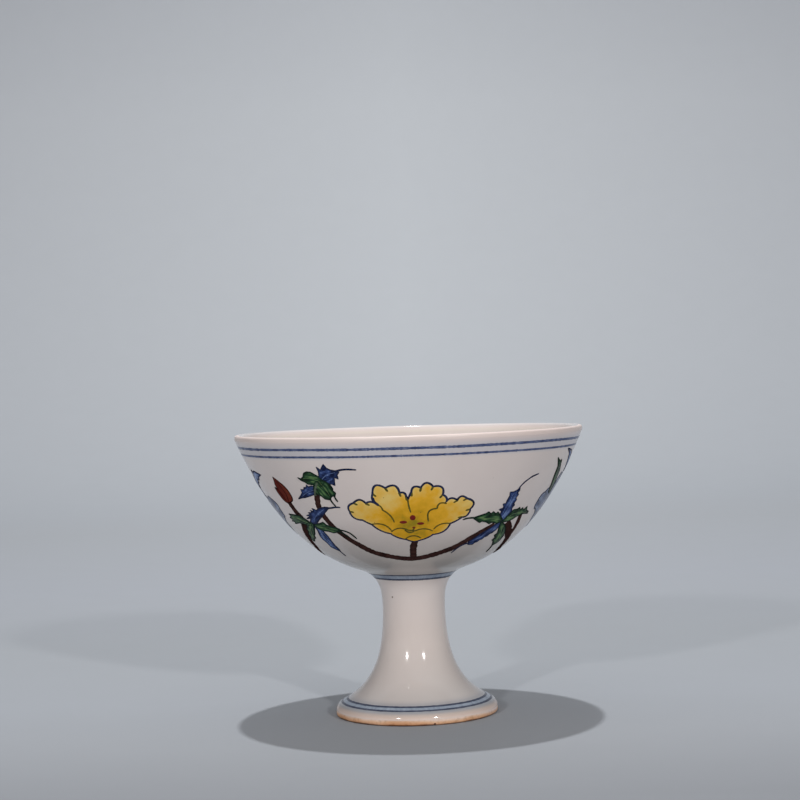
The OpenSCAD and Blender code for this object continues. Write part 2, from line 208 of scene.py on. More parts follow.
def bezier(points, t):
    """A point of a cubic curve."""
    a, b, c, d = points
    u = 1 - t
    return u ** 3 * a + 3 * u * u * t * b + 3 * u * t * t * c + t ** 3 * d


def bezier_way(points, t):
    """Unit step along a curve."""
    a, b, c, d = points
    u = 1 - t
    way = u * u * (b - a) + 2 * u * t * (c - b) + t * t * (d - c)
    return way.normalized()


def outwards(way):
    """The normal on the outer side of a wall that goes up along way."""
    return Vector((way[1], -way[0]))


def beside(curve, t, depth):
    """A point at a depth inside a curve of the outside."""
    return bezier(curve, t) - depth * outwards(bezier_way(curve, t))


UP = Vector((0, 1))
LIP_MID = Vector((LIP_R - LIP_WALL / 2, CUP_H - LIP_WALL / 2))
LIP_EDGE = LIP_MID + LIP_WALL / 2 * outwards(lean(LIP_LEAN))
TURN = Vector((TURN_R, STEM_H + TURN_RISE))
JOINT = Vector((NECK_R, STEM_H))
WAIST = Vector((WAIST_R, STEM_H - WAIST_DROP))
SHOULDER = Vector((FOOT_R - EDGE_W, EDGE_H))
FOOT_EDGE = Vector((FOOT_R, BARE_H))
FOOT_WAY = lean(-FOOT_SLOPE)

BOWL_CURVE = (TURN, TURN + LOWER_REACH * lean(TURN_LEAN), LIP_EDGE - UPPER_REACH * lean(LIP_LEAN), LIP_EDGE)
NECK_CURVE = (JOINT, JOINT + NECK_REACH_UP * lean(NECK_LEAN), TURN - TURN_REACH * lean(TURN_LEAN), TURN)
STEM_CURVE = (WAIST, WAIST + WAIST_REACH_UP * UP, JOINT - NECK_REACH_DOWN * lean(NECK_LEAN), JOINT)
FOOT_CURVE = (SHOULDER, SHOULDER + SPREAD_REACH * FOOT_WAY, WAIST - WAIST_REACH_DOWN * UP, WAIST)
EDGE_CURVE = (FOOT_EDGE, FOOT_EDGE + EDGE_REACH * UP, SHOULDER - SHOULDER_REACH * FOOT_WAY, SHOULDER)
OUTSIDE = (EDGE_CURVE, FOOT_CURVE, STEM_CURVE, NECK_CURVE, BOWL_CURVE)


def outside_path(depth=0, steps=(8, 50, 24, 12, 90)):
    """The outside from the bare foot edge to the lip, at a depth under the glaze's face."""
    path = []
    for curve, count in zip(OUTSIDE, steps):
        for i in range(count):
            path.append(beside(curve, i / count, depth))
    path.append(LIP_EDGE - depth * outwards(lean(LIP_LEAN)))
    return path


def lip_path(depth=0, steps=20):
    """The round lip, from the outside over the top to the inside, with a fuller quarter on the outside."""
    path = []
    for i in range(1, steps):
        turn = math.radians(180 * i / steps - LIP_LEAN)
        across = math.cos(turn)
        high = math.sin(turn)
        if across > 0 and high > 0:
            across = across ** LIP_FULL
            high = high ** LIP_FULL
        path.append(LIP_MID + (LIP_WALL / 2 - depth) * Vector((across, high)))
    return path


def inside_point(t):
    """The inside of the bowl's wall across from a point of its outside."""
    wall = LOW_WALL + (LIP_WALL - LOW_WALL) * t
    return beside(BOWL_CURVE, t, wall)


def inside_path(depth=0, wall_steps=60, floor_steps=24):
    """The inside from the lip down to the middle of the floor."""
    path = []
    for i in range(wall_steps):
        t = 1 - (1 - FLOOR_FROM) * i / wall_steps
        path.append(inside_point(t) + depth * outwards(bezier_way(BOWL_CURVE, t)))
    edge = inside_point(FLOOR_FROM)
    level = STEM_H + FLOOR_T
    way = bezier_way(BOWL_CURVE, FLOOR_FROM)
    middle = Vector((0, level))
    floor = (edge, edge - FLOOR_REACH * way, Vector((FLOOR_FLAT * edge[0], level)), middle)
    for i in range(floor_steps + 1):
        path.append(bezier(floor, i / floor_steps) - Vector((0, depth)))
    return path


class Wall:
    """The bowl's outside by distance below the lip."""

    def __init__(self):
        path = outside_path(steps=(40, 200, 100, 80, 400))
        path.reverse()
        self.drops = [0.0]
        for a, b in zip(path, path[1:]):
            self.drops.append(self.drops[-1] + (b - a).length)
        self.path = path

    def at(self, drop):
        """Point (radius, height) and outward normal at a drop."""
        i = min(max(bisect_right(self.drops, drop) - 1, 0), len(self.path) - 2)
        share = (drop - self.drops[i]) / (self.drops[i + 1] - self.drops[i])
        a = self.path[i]
        b = self.path[i + 1]
        return a.lerp(b, share), outwards((a - b).normalized())

    def radius(self, drop):
        """The outside's radius at a drop."""
        return self.at(drop)[0][0]

    def drop_of(self, curve, t):
        """The drop of a point of one of the outside's curves."""
        point = bezier(curve, t)
        nearest = min(range(len(self.path)), key=lambda i: (self.path[i] - point).length_squared)
        return self.drops[nearest]


WALL = Wall()


def place(angle, r, z):
    """A point of the cup in metres, with the hand-made unevenness of its wall."""
    a = math.radians(angle)
    high = max(z / CUP_H, 0)
    sway = 1 + sum(share * math.sin(waves * a + start) for waves, share, start in SWAY_WAVES)
    dip = LIP_DIP * (0.5 + 0.5 * math.sin(DIP_WAVES * a + DIP_START)) * high ** DIP_POWER
    r = max(r - SWAY * sway * high, 0)
    return Vector((r * math.sin(a), -r * math.cos(a), z - dip)) * MM


def on_wall(angle, drop, lift):
    """A point over the bowl's or stem's outside."""
    point, normal = WALL.at(drop)
    point = point + lift * normal
    return place(angle, point[0], point[1])


def spot(at, x, y):
    """Millimetres right of and above a place, as (degrees, drop)."""
    drop = at[1] - y
    return at[0] + math.degrees(x / WALL.radius(drop)), drop


# Meshes

def mesh_object(name, points, faces, shades=None):
    """A smooth object with crisp sharp edges, and its brush tones where it has them."""
    mesh = bpy.data.meshes.new(name)
    mesh.from_pydata([tuple(p) for p in points], [], faces)
    mesh.update()
    for face in mesh.polygons:
        face.use_smooth = True
    mesh.set_sharp_from_angle(angle=math.radians(SHARP_ANGLE))
    if shades:
        layer = mesh.attributes.new("shade", "FLOAT", "POINT")
        layer.data.foreach_set("value", shades)
    piece = bpy.data.objects.new(name, mesh)
    bpy.context.scene.collection.objects.link(piece)
    return piece


def lathe(name, path, steps=288):
    """Turns a path (r, z) that closes on itself, or ends on the axis, round the cup's axis."""
    points = []
    rows = []
    for r, z in path:
        if r < TINY:
            rows.append([len(points)] * steps)
            points.append(place(0, 0, z))
            continue
        rows.append(list(range(len(points), len(points) + steps)))
        for i in range(steps):
            points.append(place(360 * i / steps, r, z))
    faces = []
    for low, high in zip(rows, rows[1:] + rows[:1]):
        for i in range(steps):
            j = (i + 1) % steps
            face = []
            for corner in (low[i], low[j], high[j], high[i]):
                if corner not in face:
                    face.append(corner)
            if len(face) > 2:
                faces.append(face)
    return mesh_object(name, points, faces)


class Coat:
    """Thin closed patches and brush strokes of one colour, gathered into one mesh."""

    def __init__(self):
        self.points = []
        self.shades = []
        self.faces = []

    def add(self, angle, drop, lift, shade):
        """Adds a point over the wall and gives its number."""
        self.points.append(on_wall(angle, drop, lift))
        self.shades.append(shade)
        return len(self.points) - 1

    def stroke(self, route, width, lift, thin=(0.35, 0.35), seed=0, closed=False, smooth=True,
               low_swell=0, rough=STROKE_ROUGH):
        """A brush stroke along (degrees, drop) places. Its width wavers, grows by low_swell a millimetre of
        drop below LOW_FROM, and thins towards both ends; rough is the share of its ragged edges."""
        line = brush_line(route, closed, smooth)
        last = max(len(line) - 1, 1)
        rows = []
        for i, (angle, drop) in enumerate(line):
            r = WALL.radius(drop)
            way = brush_way(line, i, closed)
            along = math.radians(angle) * r
            waver = STROKE_WAVER * ripple(along, drop, WAVER_PACE, seed)
            ragged = rough * ripple(along, drop, ROUGH_PACE, seed + 3)
            half = (width + low_swell * max(drop - LOW_FROM, 0)) / 2 * (1 + waver + ragged)
            if not closed:
                half *= brush_taper(i / last, thin)
            slow = ripple(along, drop, SLOW_PACE, seed + 7)
            quick = ripple(along, drop, QUICK_PACE, seed + 9)
            tone = STROKE_TONE + TONE_SWING * (slow + quick)
            row = []
            for across, rise, shade in STROKE_SECTION:
                right = way[1] * across * half
                up = -way[0] * across * half
                height = lift * rise if rise > 0 else rise
                row.append(self.add(angle + math.degrees(right / r), drop - up, height, tone * shade))
            rows.append(row)
        self.skin_rows(rows, closed)

    def skin_rows(self, rows, closed):
        """Faces between a stroke's rows of points, and over its ends."""
        width = len(rows[0])
        ends = rows[1:] + (rows[:1] if closed else [])
        for a, b in zip(rows, ends):
            for i in range(width):
                j = (i + 1) % width
                self.faces.append((a[i], a[j], b[j], b[i]))
        if not closed:
            self.faces.append(tuple(reversed(rows[0])))
            self.faces.append(tuple(rows[-1]))

    def patch(self, at, outline, lift, shade=None, step=PATCH_STEP):
        """A closed thin patch inside an outline (mm from at), raised from its edge to its middle."""
        outline = clockwise(outline)
        corners = [Vector(p) for p in outline] + patch_middle(outline, step)
        ring = list(range(len(outline)))
        spots, _, triangles = delaunay_2d_cdt(corners, [], [ring], 1, MERGE)[:3]
        rim = patch_edge(triangles)
        edge = {corner for side in rim for corner in side}
        tops = []
        lows = []
        for i, p in enumerate(spots):
            angle, drop = spot(at, p[0], p[1])
            tone = shade(p[0], p[1], clearance(outline, p)) if shade else STROKE_TONE
            rise = EDGE_LIFT + (lift - EDGE_LIFT) * (RIM_RISE if i in edge else 1)
            tops.append(self.add(angle, drop, rise, tone))
            lows.append(self.add(angle, drop, BURIED, tone))
        for a, b, c in triangles:
            self.faces.append((tops[a], tops[b], tops[c]))
            self.faces.append((lows[c], lows[b], lows[a]))
        for a, b in rim:
            self.faces.append((tops[b], tops[a], lows[a], lows[b]))

    def build(self, name):
        return mesh_object(name, self.points, self.faces, self.shades)


# Across a stroke: place from side to side, height as a share of the lift (or mm below), tone
STROKE_SECTION = ((-1, 0.2, 0.75), (-0.6, 0.85, 0.9), (0, 1, 1.1), (0.6, 0.85, 0.9), (1, 0.2, 0.75),
                  (0.9, BURIED, 1), (-0.9, BURIED, 1))


def ripple(along, drop, pace, seed):
    """Smooth noise over the wall, from about -1 to 1."""
    return noise.noise(Vector((along * pace, drop * pace, seed)))


def brush_taper(t, thin):
    """Share of a stroke's width, from thin's first value at its start to the second at its end."""
    start = thin[0] + (1 - thin[0]) * min(t / TAPER_RUN, 1) ** TAPER_POWER
    end = thin[1] + (1 - thin[1]) * min((1 - t) / TAPER_RUN, 1) ** TAPER_POWER
    return min(start, end)


def brush_way(line, i, closed):
    """Unit step (right, up) along a brush line at one of its places."""
    before = line[i - 1] if i or closed else line[i]
    after = line[(i + 1) % len(line)] if i < len(line) - 1 or closed else line[i]
    level = Vector((1, 0))
    if closed and abs(after[0] - before[0]) > 180:
        return level
    r = WALL.radius(line[i][1])
    way = Vector((math.radians(after[0] - before[0]) * r, before[1] - after[1]))
    return way.normalized() if way.length > TINY else level


def brush_line(route, closed, smooth):
    """Evenly spaced places along a route; a smooth one is a Catmull-Rom curve."""
    if closed:
        return list(route)
    places = [Vector(p) for p in route]
    line = []
    for i in range(len(places) - 1):
        a = places[max(i - 1, 0)]
        b = places[i]
        c = places[i + 1]
        d = places[min(i + 2, len(places) - 1)]
        r = WALL.radius(b[1])
        gap = Vector((math.radians(c[0] - b[0]) * r, c[1] - b[1])).length
        count = max(round(gap / STROKE_STEP), 1)
        for k in range(count):
            t = k / count
            if smooth:
                line.append(catmull(a, b, c, d, t))
            else:
                line.append(b.lerp(c, t))
    line.append(places[-1])
    return line


def catmull(a, b, c, d, t):
    """A point between b and c of the smooth curve through four points."""
    straight = 2 * b + (c - a) * t
    return 0.5 * (straight + (2 * a - 5 * b + 4 * c - d) * t * t + (3 * b - a - 3 * c + d) * t ** 3)


def patch_edge(triangles):
    """Sides that only one triangle has, in that triangle's order."""
    sides = set()
    for tri in triangles:
        for a, b in zip(tri, tri[1:] + tri[:1]):
            if (b, a) in sides:
                sides.remove((b, a))
            else:
                sides.add((a, b))
    return sorted(sides)


def clockwise(outline):
    """The outline, turned round where it runs the other way."""
    turn = sum(ax * by - bx * ay for (ax, ay), (bx, by) in zip(outline, outline[1:] + outline[:1]))
    return list(outline) if turn < 0 else list(reversed(outline))


def patch_middle(outline, step):
    """Points inside an outline: a ring just inside its edge and a staggered grid."""
    found = []
    for i in range(len(outline)):
        a = Vector(outline[i - 1])
        b = Vector(outline[i])
        way = b - a
        if way.length < TINY:
            continue
        inner = (a + b) / 2 + RIM_INSET * Vector((way[1], -way[0])).normalized()
        if inside(outline, inner) and clearance(outline, inner) > RIM_CLEAR:
            found.append(inner)
    xs = [p[0] for p in outline]
    ys = [p[1] for p in outline]
    row = 0
    y = min(ys)
    while y < max(ys):
        x = min(xs) + (row % 2) * step / 2
        while x < max(xs):
            inner = Vector((x, y))
            if inside(outline, inner) and clearance(outline, inner) > GRID_CLEAR * step:
                found.append(inner)
            x += step
        y += step * GRID_ROW
        row += 1
    return found


def inside(outline, point):
    """Whether a point lies inside an outline."""
    odd = False
    x, y = point
    for i in range(len(outline)):
        ax, ay = outline[i - 1]
        bx, by = outline[i]
        if (ay > y) != (by > y) and x < (bx - ax) * (y - ay) / (by - ay) + ax:
            odd = not odd
    return odd


def clearance(outline, point):
    """Distance from a point to an outline."""
    gaps = []
    for i in range(len(outline)):
        a = Vector(outline[i - 1])
        way = Vector(outline[i]) - a
        share = 0
        if way.length_squared > 0:
            share = min(max((point - a).dot(way) / way.length_squared, 0), 1)
        gaps.append((a + share * way - point).length)
    return min(gaps)


def lobes(corners, steps=8):
    """A path through (x, y, bulge) corners: each stretch swells to its left by that share of its length."""
    path = []
    for (ax, ay, _), (bx, by, bulge) in zip(corners, corners[1:]):
        for i in range(steps):
            t = i / steps
            swell = 4 * bulge * t * (1 - t)
            path.append((ax + t * (bx - ax) - swell * (by - ay), ay + t * (by - ay) + swell * (bx - ax)))
    path.append(corners[-1][:2])
    return path


# Materials

GRAIN_DETAIL = 3


def new_material(name, roughness):
    """A material, its node tree and its shader."""
    made = bpy.data.materials.new(name)
    made.use_nodes = True
    tree = made.node_tree
    shader = tree.nodes["Principled BSDF"]
    shader.inputs["Roughness"].default_value = roughness
    return made, tree, shader


def feed(tree, socket, value):
    """Links a socket to another node's output, or sets it to a plain value."""
    if isinstance(value, bpy.types.NodeSocket):
        tree.links.new(value, socket)
    else:
        socket.default_value = value


def add_node(tree, kind, **inputs):
    """A new shader node with its inputs fed."""
    node = tree.nodes.new("ShaderNode" + kind)
    for name, value in inputs.items():
        feed(tree, node.inputs[name], value)
    return node


def coordinates(tree, output="Object"):
    """The shaded point in the object's own metres, or another of its coordinates."""
    return add_node(tree, "TexCoord").outputs[output]


def axes(tree, vector):
    """The X, Y and Z of a vector."""
    return add_node(tree, "SeparateXYZ", Vector=vector).outputs


def grain(tree, scale, stretch=(1, 1, 1)):
    """Noise from 0 to 1, with a scale per metre."""
    where = add_node(tree, "Mapping", Vector=coordinates(tree), Scale=stretch).outputs["Vector"]
    return add_node(tree, "TexNoise", Vector=where, Scale=scale, Detail=GRAIN_DETAIL).outputs["Fac"]


def shade_of(tree):
    """The brush tone that a mesh carries."""
    layer = add_node(tree, "Attribute")
    layer.attribute_name = "shade"
    return layer.outputs["Fac"]


def ramp(tree, source, stops):
    """A colour ramp over (place, linear colour) stops."""
    node = add_node(tree, "ValToRGB", Fac=source)
    points = node.color_ramp.elements
    while len(points) < len(stops):
        points.new(0.5)
    for point, (where, colour) in zip(points, stops):
        point.position = where
        point.color = (*colour, 1)
    return node.outputs["Color"]


def blend(tree, factor, under, over, kind="MIX"):
    """Two colours, mixed by a factor from 0 to 1."""
    node = add_node(tree, "Mix")
    node.data_type = "RGBA"
    node.blend_type = kind
    for name, value in (("Factor", factor), ("A", under), ("B", over)):
        feed(tree, node.inputs[name], value)
    return node.outputs["Result"]


def multiply(tree, first, second):
    """The product of two colours."""
    return blend(tree, 1, first, second, "MULTIPLY")


def calculate(tree, operation, first, second):
    """Arithmetic on two values, each a number or a node's output."""
    node = add_node(tree, "Math")
    node.operation = operation
    feed(tree, node.inputs[0], first)
    feed(tree, node.inputs[1], second)
    return node.outputs["Value"]


def roughen(tree, shader, source, low, high):
    """Roughness from low where the source is 0 to high where it is 1, and on in step."""
    node = add_node(tree, "MapRange", Value=source, **{"To Min": low, "To Max": high})
    node.clamp = False
    tree.links.new(node.outputs["Result"], shader.inputs["Roughness"])


def relief(tree, shader, source, depth):
    """Small bumps, depth metres high."""
    node = add_node(tree, "Bump", Height=source, Distance=depth, Strength=1)
    tree.links.new(node.outputs["Normal"], shader.inputs["Normal"])


def specks(tree, scale, share, size):
    """Sparse round specks in a share of a grid's cells: 1 inside a speck, 0 elsewhere."""
    cells = add_node(tree, "TexVoronoi", Vector=coordinates(tree), Scale=scale).outputs
    red = add_node(tree, "SeparateColor", Color=cells["Color"]).outputs["Red"]
    chosen = calculate(tree, "GREATER_THAN", red, 1 - share)
    near = calculate(tree, "LESS_THAN", cells["Distance"], size)
    return calculate(tree, "MULTIPLY", chosen, near)


def spot_mask(tree, at, size):
    """1 within a distance (mm) of a place on the cup, 0 elsewhere."""
    away = add_node(tree, "VectorMath")
    away.operation = "DISTANCE"
    feed(tree, away.inputs[0], coordinates(tree))
    feed(tree, away.inputs[1], [MM * value for value in at])
    return calculate(tree, "LESS_THAN", away.outputs["Value"], MM * size)


def flat_colour(tree, colour):
    """One colour all over."""
    node = add_node(tree, "RGB")
    node.outputs["Color"].default_value = (*colour, 1)
    return node.outputs["Color"]


# Glaze: the warm white's mottling; the iron specks' scale, share of cells and size; their colour
GLAZE_MOTTLE = [(0.3, (0.77, 0.682, 0.647)), (0.7, (0.81, 0.733, 0.7))]
GLAZE_SPECKS = (260, 0.012, 0.035)
IRON = (0.22, 0.17, 0.14)

# The glaze's tint by share of the height: pale at the foot's edge as a painted highlight, bluish by the
# lines, painted shade darkening the lower stem under the bowl, warm at the lip with a painted highlight on
# its crest
GLAZE_TINTS_AND_PAINTED_LIGHT = [
    (0.02, (1.06, 1.02, 0.98)),
    (0.0251, (1.03, 0.93, 0.87)),
    (0.0281, (0.915, 0.82, 0.76)),
    (0.0342, (0.8, 0.75, 0.7)),
    (0.0373, (0.65, 0.63, 0.63)),
    (0.0434, (0.5, 0.58, 0.66)),
    (0.0657, (0.6, 0.65, 0.71)),
    (0.0684, (0.69, 0.73, 0.767)),
    (0.077, (0.79, 0.815, 0.825)),
    (0.12, (0.83, 0.84, 0.84)),
    (0.25, (0.99, 0.99, 0.98)),
    (0.44, (1.0, 1.0, 1.0)),
    (0.921, (1.0, 1.0, 1.0)),
    (0.931, (0.82, 0.87, 0.95)),
    (0.962, (0.8, 0.86, 0.95)),
    (0.974, (0.96, 0.95, 0.98)),
    (0.985, (1.03, 0.98, 0.96)),
    (0.997, (1.05, 1.0, 0.99)),
]

# Painted shade on the glaze by how far its face looks up, from 0 to 1: greyer under the bowl
UNDER_PAINTED_SHADE = [(0.05, (0.63, 0.65, 0.63)), (0.2, (1.0, 1.0, 1.0))]

# Painted shade on the glaze inside the bowl by share of the height: greyer below the lip
INSIDE_PAINTED_SHADE = [
    (0.9, (0.9, 0.91, 0.92)),
    (0.971, (0.82, 0.82, 0.81)),
    (0.979, (0.9, 0.92, 0.88)),
    (0.987, (0.95, 0.94, 0.95)),
    (0.996, (0.91, 0.96, 1.0)),
]
# The inside starts at this share of the height, and its face looks up more than this
INSIDE_FROM = 0.52
INSIDE_FACE = 0.52

# Iron spots in the glaze: place and radius, mm
GLAZE_SPOTS = (((-5.2, -5.95, 29.4), 0.22), ((24.6, -34.5, 69.0), 0.24))

# The lip's outer half turns dry between these shares of the height: rougher than the rest by some steps of
# the glaze's own roughness
DRY_LIP = [(0.975, (0, 0, 0)), (0.992, (1, 1, 1))]
DRY_STEPS = 4
GLAZE_SMOOTH = 0.06
GLAZE_DULL = 0.13
# Square of the lip's middle radius, in metres
LIP_SQUARE = (LIP_MID[0] * MM) ** 2


def glaze_colour(tree):
    """Warm white with a slow mottling, rare iron specks and two iron spots."""
    dark = flat_colour(tree, IRON)
    colour = blend(tree, specks(tree, *GLAZE_SPECKS), ramp(tree, grain(tree, 55), GLAZE_MOTTLE), dark)
    for at, size in GLAZE_SPOTS:
        colour = blend(tree, spot_mask(tree, at, size), colour, dark)
    return colour


def glaze_tint_and_painted_light(tree, height, square):
    """The glaze's tint with painted light: by height, inside and outside the bowl, and painted shade by how
    far its face looks up.
    """
    face = axes(tree, coordinates(tree, "Normal"))["Z"]
    upward = calculate(tree, "ADD", calculate(tree, "MULTIPLY", face, 0.5), 0.5)
    within = calculate(tree, "LESS_THAN", square, LIP_SQUARE)
    high = calculate(tree, "MULTIPLY", calculate(tree, "GREATER_THAN", height, INSIDE_FROM), within)
    inner = calculate(tree, "MULTIPLY", calculate(tree, "GREATER_THAN", upward, INSIDE_FACE), high)
    # Both height tints carry painted highlights and painted shade
    tint_and_painted_light = blend(tree, inner, ramp(tree, height, GLAZE_TINTS_AND_PAINTED_LIGHT), ramp(tree, height, INSIDE_PAINTED_SHADE))
    return multiply(tree, tint_and_painted_light, ramp(tree, upward, UNDER_PAINTED_SHADE))


def glaze_material(name="glaze"):
    """Clear warm glaze with a faintly uneven face, dry on the lip's outer half; its colour carries painted
    highlights and painted shade.
    """
    made, tree, shader = new_material(name, 0.1)
    where = axes(tree, coordinates(tree))
    height = calculate(tree, "DIVIDE", where["Z"], CUP_H * MM)
    square = calculate(tree, "ADD", calculate(tree, "POWER", where["X"], 2),
                       calculate(tree, "POWER", where["Y"], 2))
    colour = multiply(tree, glaze_colour(tree), glaze_tint_and_painted_light(tree, height, square))
    tree.links.new(colour, shader.inputs["Base Color"])
    outer = calculate(tree, "GREATER_THAN", square, LIP_SQUARE)
    dry = calculate(tree, "MULTIPLY", ramp(tree, height, DRY_LIP), outer)
    rough = calculate(tree, "ADD", grain(tree, 130), calculate(tree, "MULTIPLY", dry, DRY_STEPS))
    roughen(tree, shader, rough, GLAZE_SMOOTH, GLAZE_DULL)
    relief(tree, shader, grain(tree, 180, stretch=(1, 1, 2.2)), 0.00002)
    return made


# Bare clay: where iron has burnt, and its fine grains
CLAY_BURN = [(0.38, (0.74, 0.4, 0.22)), (0.5, (0.88, 0.56, 0.36)), (0.62, (0.88, 0.64, 0.5))]
CLAY_GRAINS = [(0.35, (0.36, 0.18, 0.09)), (0.5, (0.72, 0.44, 0.27))]
CLAY_GRAIN_SHARE = 0.6
# Its tint by share of the bare height: a painted contact shadow where it stands, paler towards the glaze,
# with a wavy border
CLAY_BANDS_AND_CONTACT_SHADOW = [
    (0.1, (0.2, 0.13, 0.1)),
    (0.36, (0.92, 0.84, 0.76)),
    (0.6, (0.98, 0.95, 0.92)),
    (0.8, (1.0, 1.17, 1.42)),
    (0.95, (1.05, 1.27, 1.65)),
]
CLAY_WAVE = 0.7
# A chip in the foot's edge: place and radius, mm, and colour
CHIP_AT = (4.1, -19.5, 0.35)
CHIP_SIZE = 0.3
CHIP_COLOUR = (0.12, 0.05, 0.03)


def clay_material(name="bare_clay"):
    """Bare fired clay, burnt orange-brown in places and pinkish elsewhere, with fine grains and a painted
    contact shadow where it stands.
    """
    made, tree, shader = new_material(name, 0.75)
    burn = ramp(tree, grain(tree, 60), CLAY_BURN)
    grains = ramp(tree, grain(tree, 1500), CLAY_GRAINS)
    colour = blend(tree, calculate(tree, "MULTIPLY", grain(tree, 700), CLAY_GRAIN_SHARE), burn, grains)
    level = calculate(tree, "DIVIDE", axes(tree, coordinates(tree))["Z"], BARE_H * MM)
    wavy = calculate(tree, "MULTIPLY", calculate(tree, "SUBTRACT", grain(tree, 130), 0.5), CLAY_WAVE)
    # The lowest band is a painted contact shadow
    bands = ramp(tree, calculate(tree, "ADD", level, wavy), CLAY_BANDS_AND_CONTACT_SHADOW)
    chip = spot_mask(tree, CHIP_AT, CHIP_SIZE)
    chipped = blend(tree, chip, multiply(tree, colour, bands), flat_colour(tree, CHIP_COLOUR))
    tree.links.new(chipped, shader.inputs["Base Color"])
    relief(tree, shader, grain(tree, 2500), 0.00006)
    return made


# White paste inside the cup, from deep to pale
CLAY_PASTE = [(0.3, (0.7, 0.66, 0.61)), (0.7, (0.78, 0.74, 0.69))]
SLIP_PASTE = [(0.3, (0.72, 0.69, 0.64)), (0.7, (0.8, 0.77, 0.72))]


def paste_material(name, tones):
    """White paste that doesn't show."""
    made, tree, shader = new_material(name, 0.7)
    tree.links.new(ramp(tree, grain(tree, 800), tones), shader.inputs["Base Color"])
    relief(tree, shader, grain(tree, 2500), 0.00004)
    return made


# Gloss of the paints, as Blender's specular level, and their grain's scale a metre
PAINT_GLOSS = 0.08
LEAF_GLOSS = 0.04
MATT = 0.0
FINE_GRAIN = 900
LEAF_GRAIN = 650

# Paints: two or three colours each, from deep to pale
PAINTS = {
    "cobalt_line": ((0.028, 0.038, 0.095), (0.09, 0.12, 0.24), (0.25, 0.28, 0.39)),
    "cobalt_low_line": ((0.044, 0.055, 0.093), (0.12, 0.136, 0.19)),
    "cobalt_wash": ((0.245, 0.297, 0.39), (0.42, 0.485, 0.585)),
    "cobalt_outline": ((0.012, 0.014, 0.025), (0.03, 0.045, 0.12)),
    "cobalt_side_line": ((0.014, 0.02, 0.045), (0.034, 0.052, 0.128)),
    "olive_line": ((0.065, 0.06, 0.012), (0.16, 0.135, 0.025)),
    "red_enamel": ((0.13, 0.012, 0.012), (0.26, 0.03, 0.022)),
    "blue_wash": ((0.034, 0.048, 0.105), (0.102, 0.137, 0.255), (0.29, 0.35, 0.49)),
    "brown_enamel": ((0.017, 0.009, 0.0085), (0.08, 0.036, 0.031)),
    "green_enamel": ((0.008, 0.021, 0.011), (0.028, 0.081, 0.037), (0.16, 0.29, 0.105)),
    "green_ink": ((0.004, 0.01, 0.008), (0.02, 0.04, 0.03)),
    "green_vein": ((0.05, 0.12, 0.04), (0.25, 0.34, 0.14)),
    "stalk_green": ((0.03, 0.05, 0.03), (0.2, 0.25, 0.18)),
    "blue_enamel": ((0.01, 0.016, 0.055), (0.045, 0.08, 0.23), (0.21, 0.31, 0.56)),
    "blue_ink": ((0.006, 0.009, 0.03), (0.03, 0.04, 0.09)),
    "blue_vein": ((0.03, 0.05, 0.16), (0.2, 0.3, 0.55)),
    "bud_red": ((0.03, 0.008, 0.008), (0.14, 0.028, 0.022), (0.27, 0.07, 0.035)),
    "bud_ink": ((0.012, 0.004, 0.004), (0.035, 0.01, 0.009)),
}
MATT_PAINTS = ("cobalt_outline", "brown_enamel", "green_ink", "blue_ink", "bud_red", "bud_ink")
LEAF_PAINTS = ("green_enamel", "blue_enamel")
# A paint's mix: shares of brush tone and grain, where its first colour lies, how far its colours reach
PAINT_MIX = (0.65, 0.45)
PAINT_FROM = 0.25
PAINT_REACH = 0.6


def brush_mix(tree, shares, grain_scale):
    """The mesh's brush tone and a fine grain, each times its share."""
    brush = calculate(tree, "MULTIPLY", shade_of(tree), shares[0])
    return calculate(tree, "ADD", brush, calculate(tree, "MULTIPLY", grain(tree, grain_scale), shares[1]))


def paint_material(name):
    """One of the paints: its brush tone and grain run through its colours."""
    tones = PAINTS[name]
    gloss = MATT if name in MATT_PAINTS else PAINT_GLOSS
    grain_scale = FINE_GRAIN
    if name in LEAF_PAINTS:
        gloss = LEAF_GLOSS
        grain_scale = LEAF_GRAIN
    made, tree, shader = new_material(name, 0.14)
    shader.inputs["Specular IOR Level"].default_value = gloss
    stops = [(PAINT_FROM + PAINT_REACH * i / (len(tones) - 1), colour) for i, colour in enumerate(tones)]
    mixed = brush_mix(tree, PAINT_MIX, grain_scale)
    tree.links.new(ramp(tree, mixed, stops), shader.inputs["Base Color"])
    roughen(tree, shader, grain(tree, 400), 0.1, 0.2)
    relief(tree, shader, grain(tree, grain_scale), 0.00001)
    return made


# Yellow enamel from the flower's heart to its pale edges
YELLOW_TONES = [
    (0.3, (0.36, 0.26, 0.02)),
    (0.44, (0.69, 0.37, 0.019)),
    (0.6, (0.85, 0.455, 0.033)),
    (0.9, (0.86, 0.62, 0.19)),
]
YELLOW_MIX = (0.6, 0.55)
YELLOW_SPECKS = (1300, 0.02, 0.15)
YELLOW_SPECK = (0.25, 0.12, 0.03)


def yellow_material(name="yellow_enamel"):
    """Yellow enamel, orange where it pools, with tiny dark specks."""
    made, tree, shader = new_material(name, 0.16)
    shader.inputs["Specular IOR Level"].default_value = PAINT_GLOSS
    wash = ramp(tree, brush_mix(tree, YELLOW_MIX, 420), YELLOW_TONES)
    colour = blend(tree, specks(tree, *YELLOW_SPECKS), wash, flat_colour(tree, YELLOW_SPECK))
    tree.links.new(colour, shader.inputs["Base Color"])
    roughen(tree, shader, grain(tree, 300), 0.1, 0.24)
    relief(tree, shader, grain(tree, 700), 0.00002)
    return made


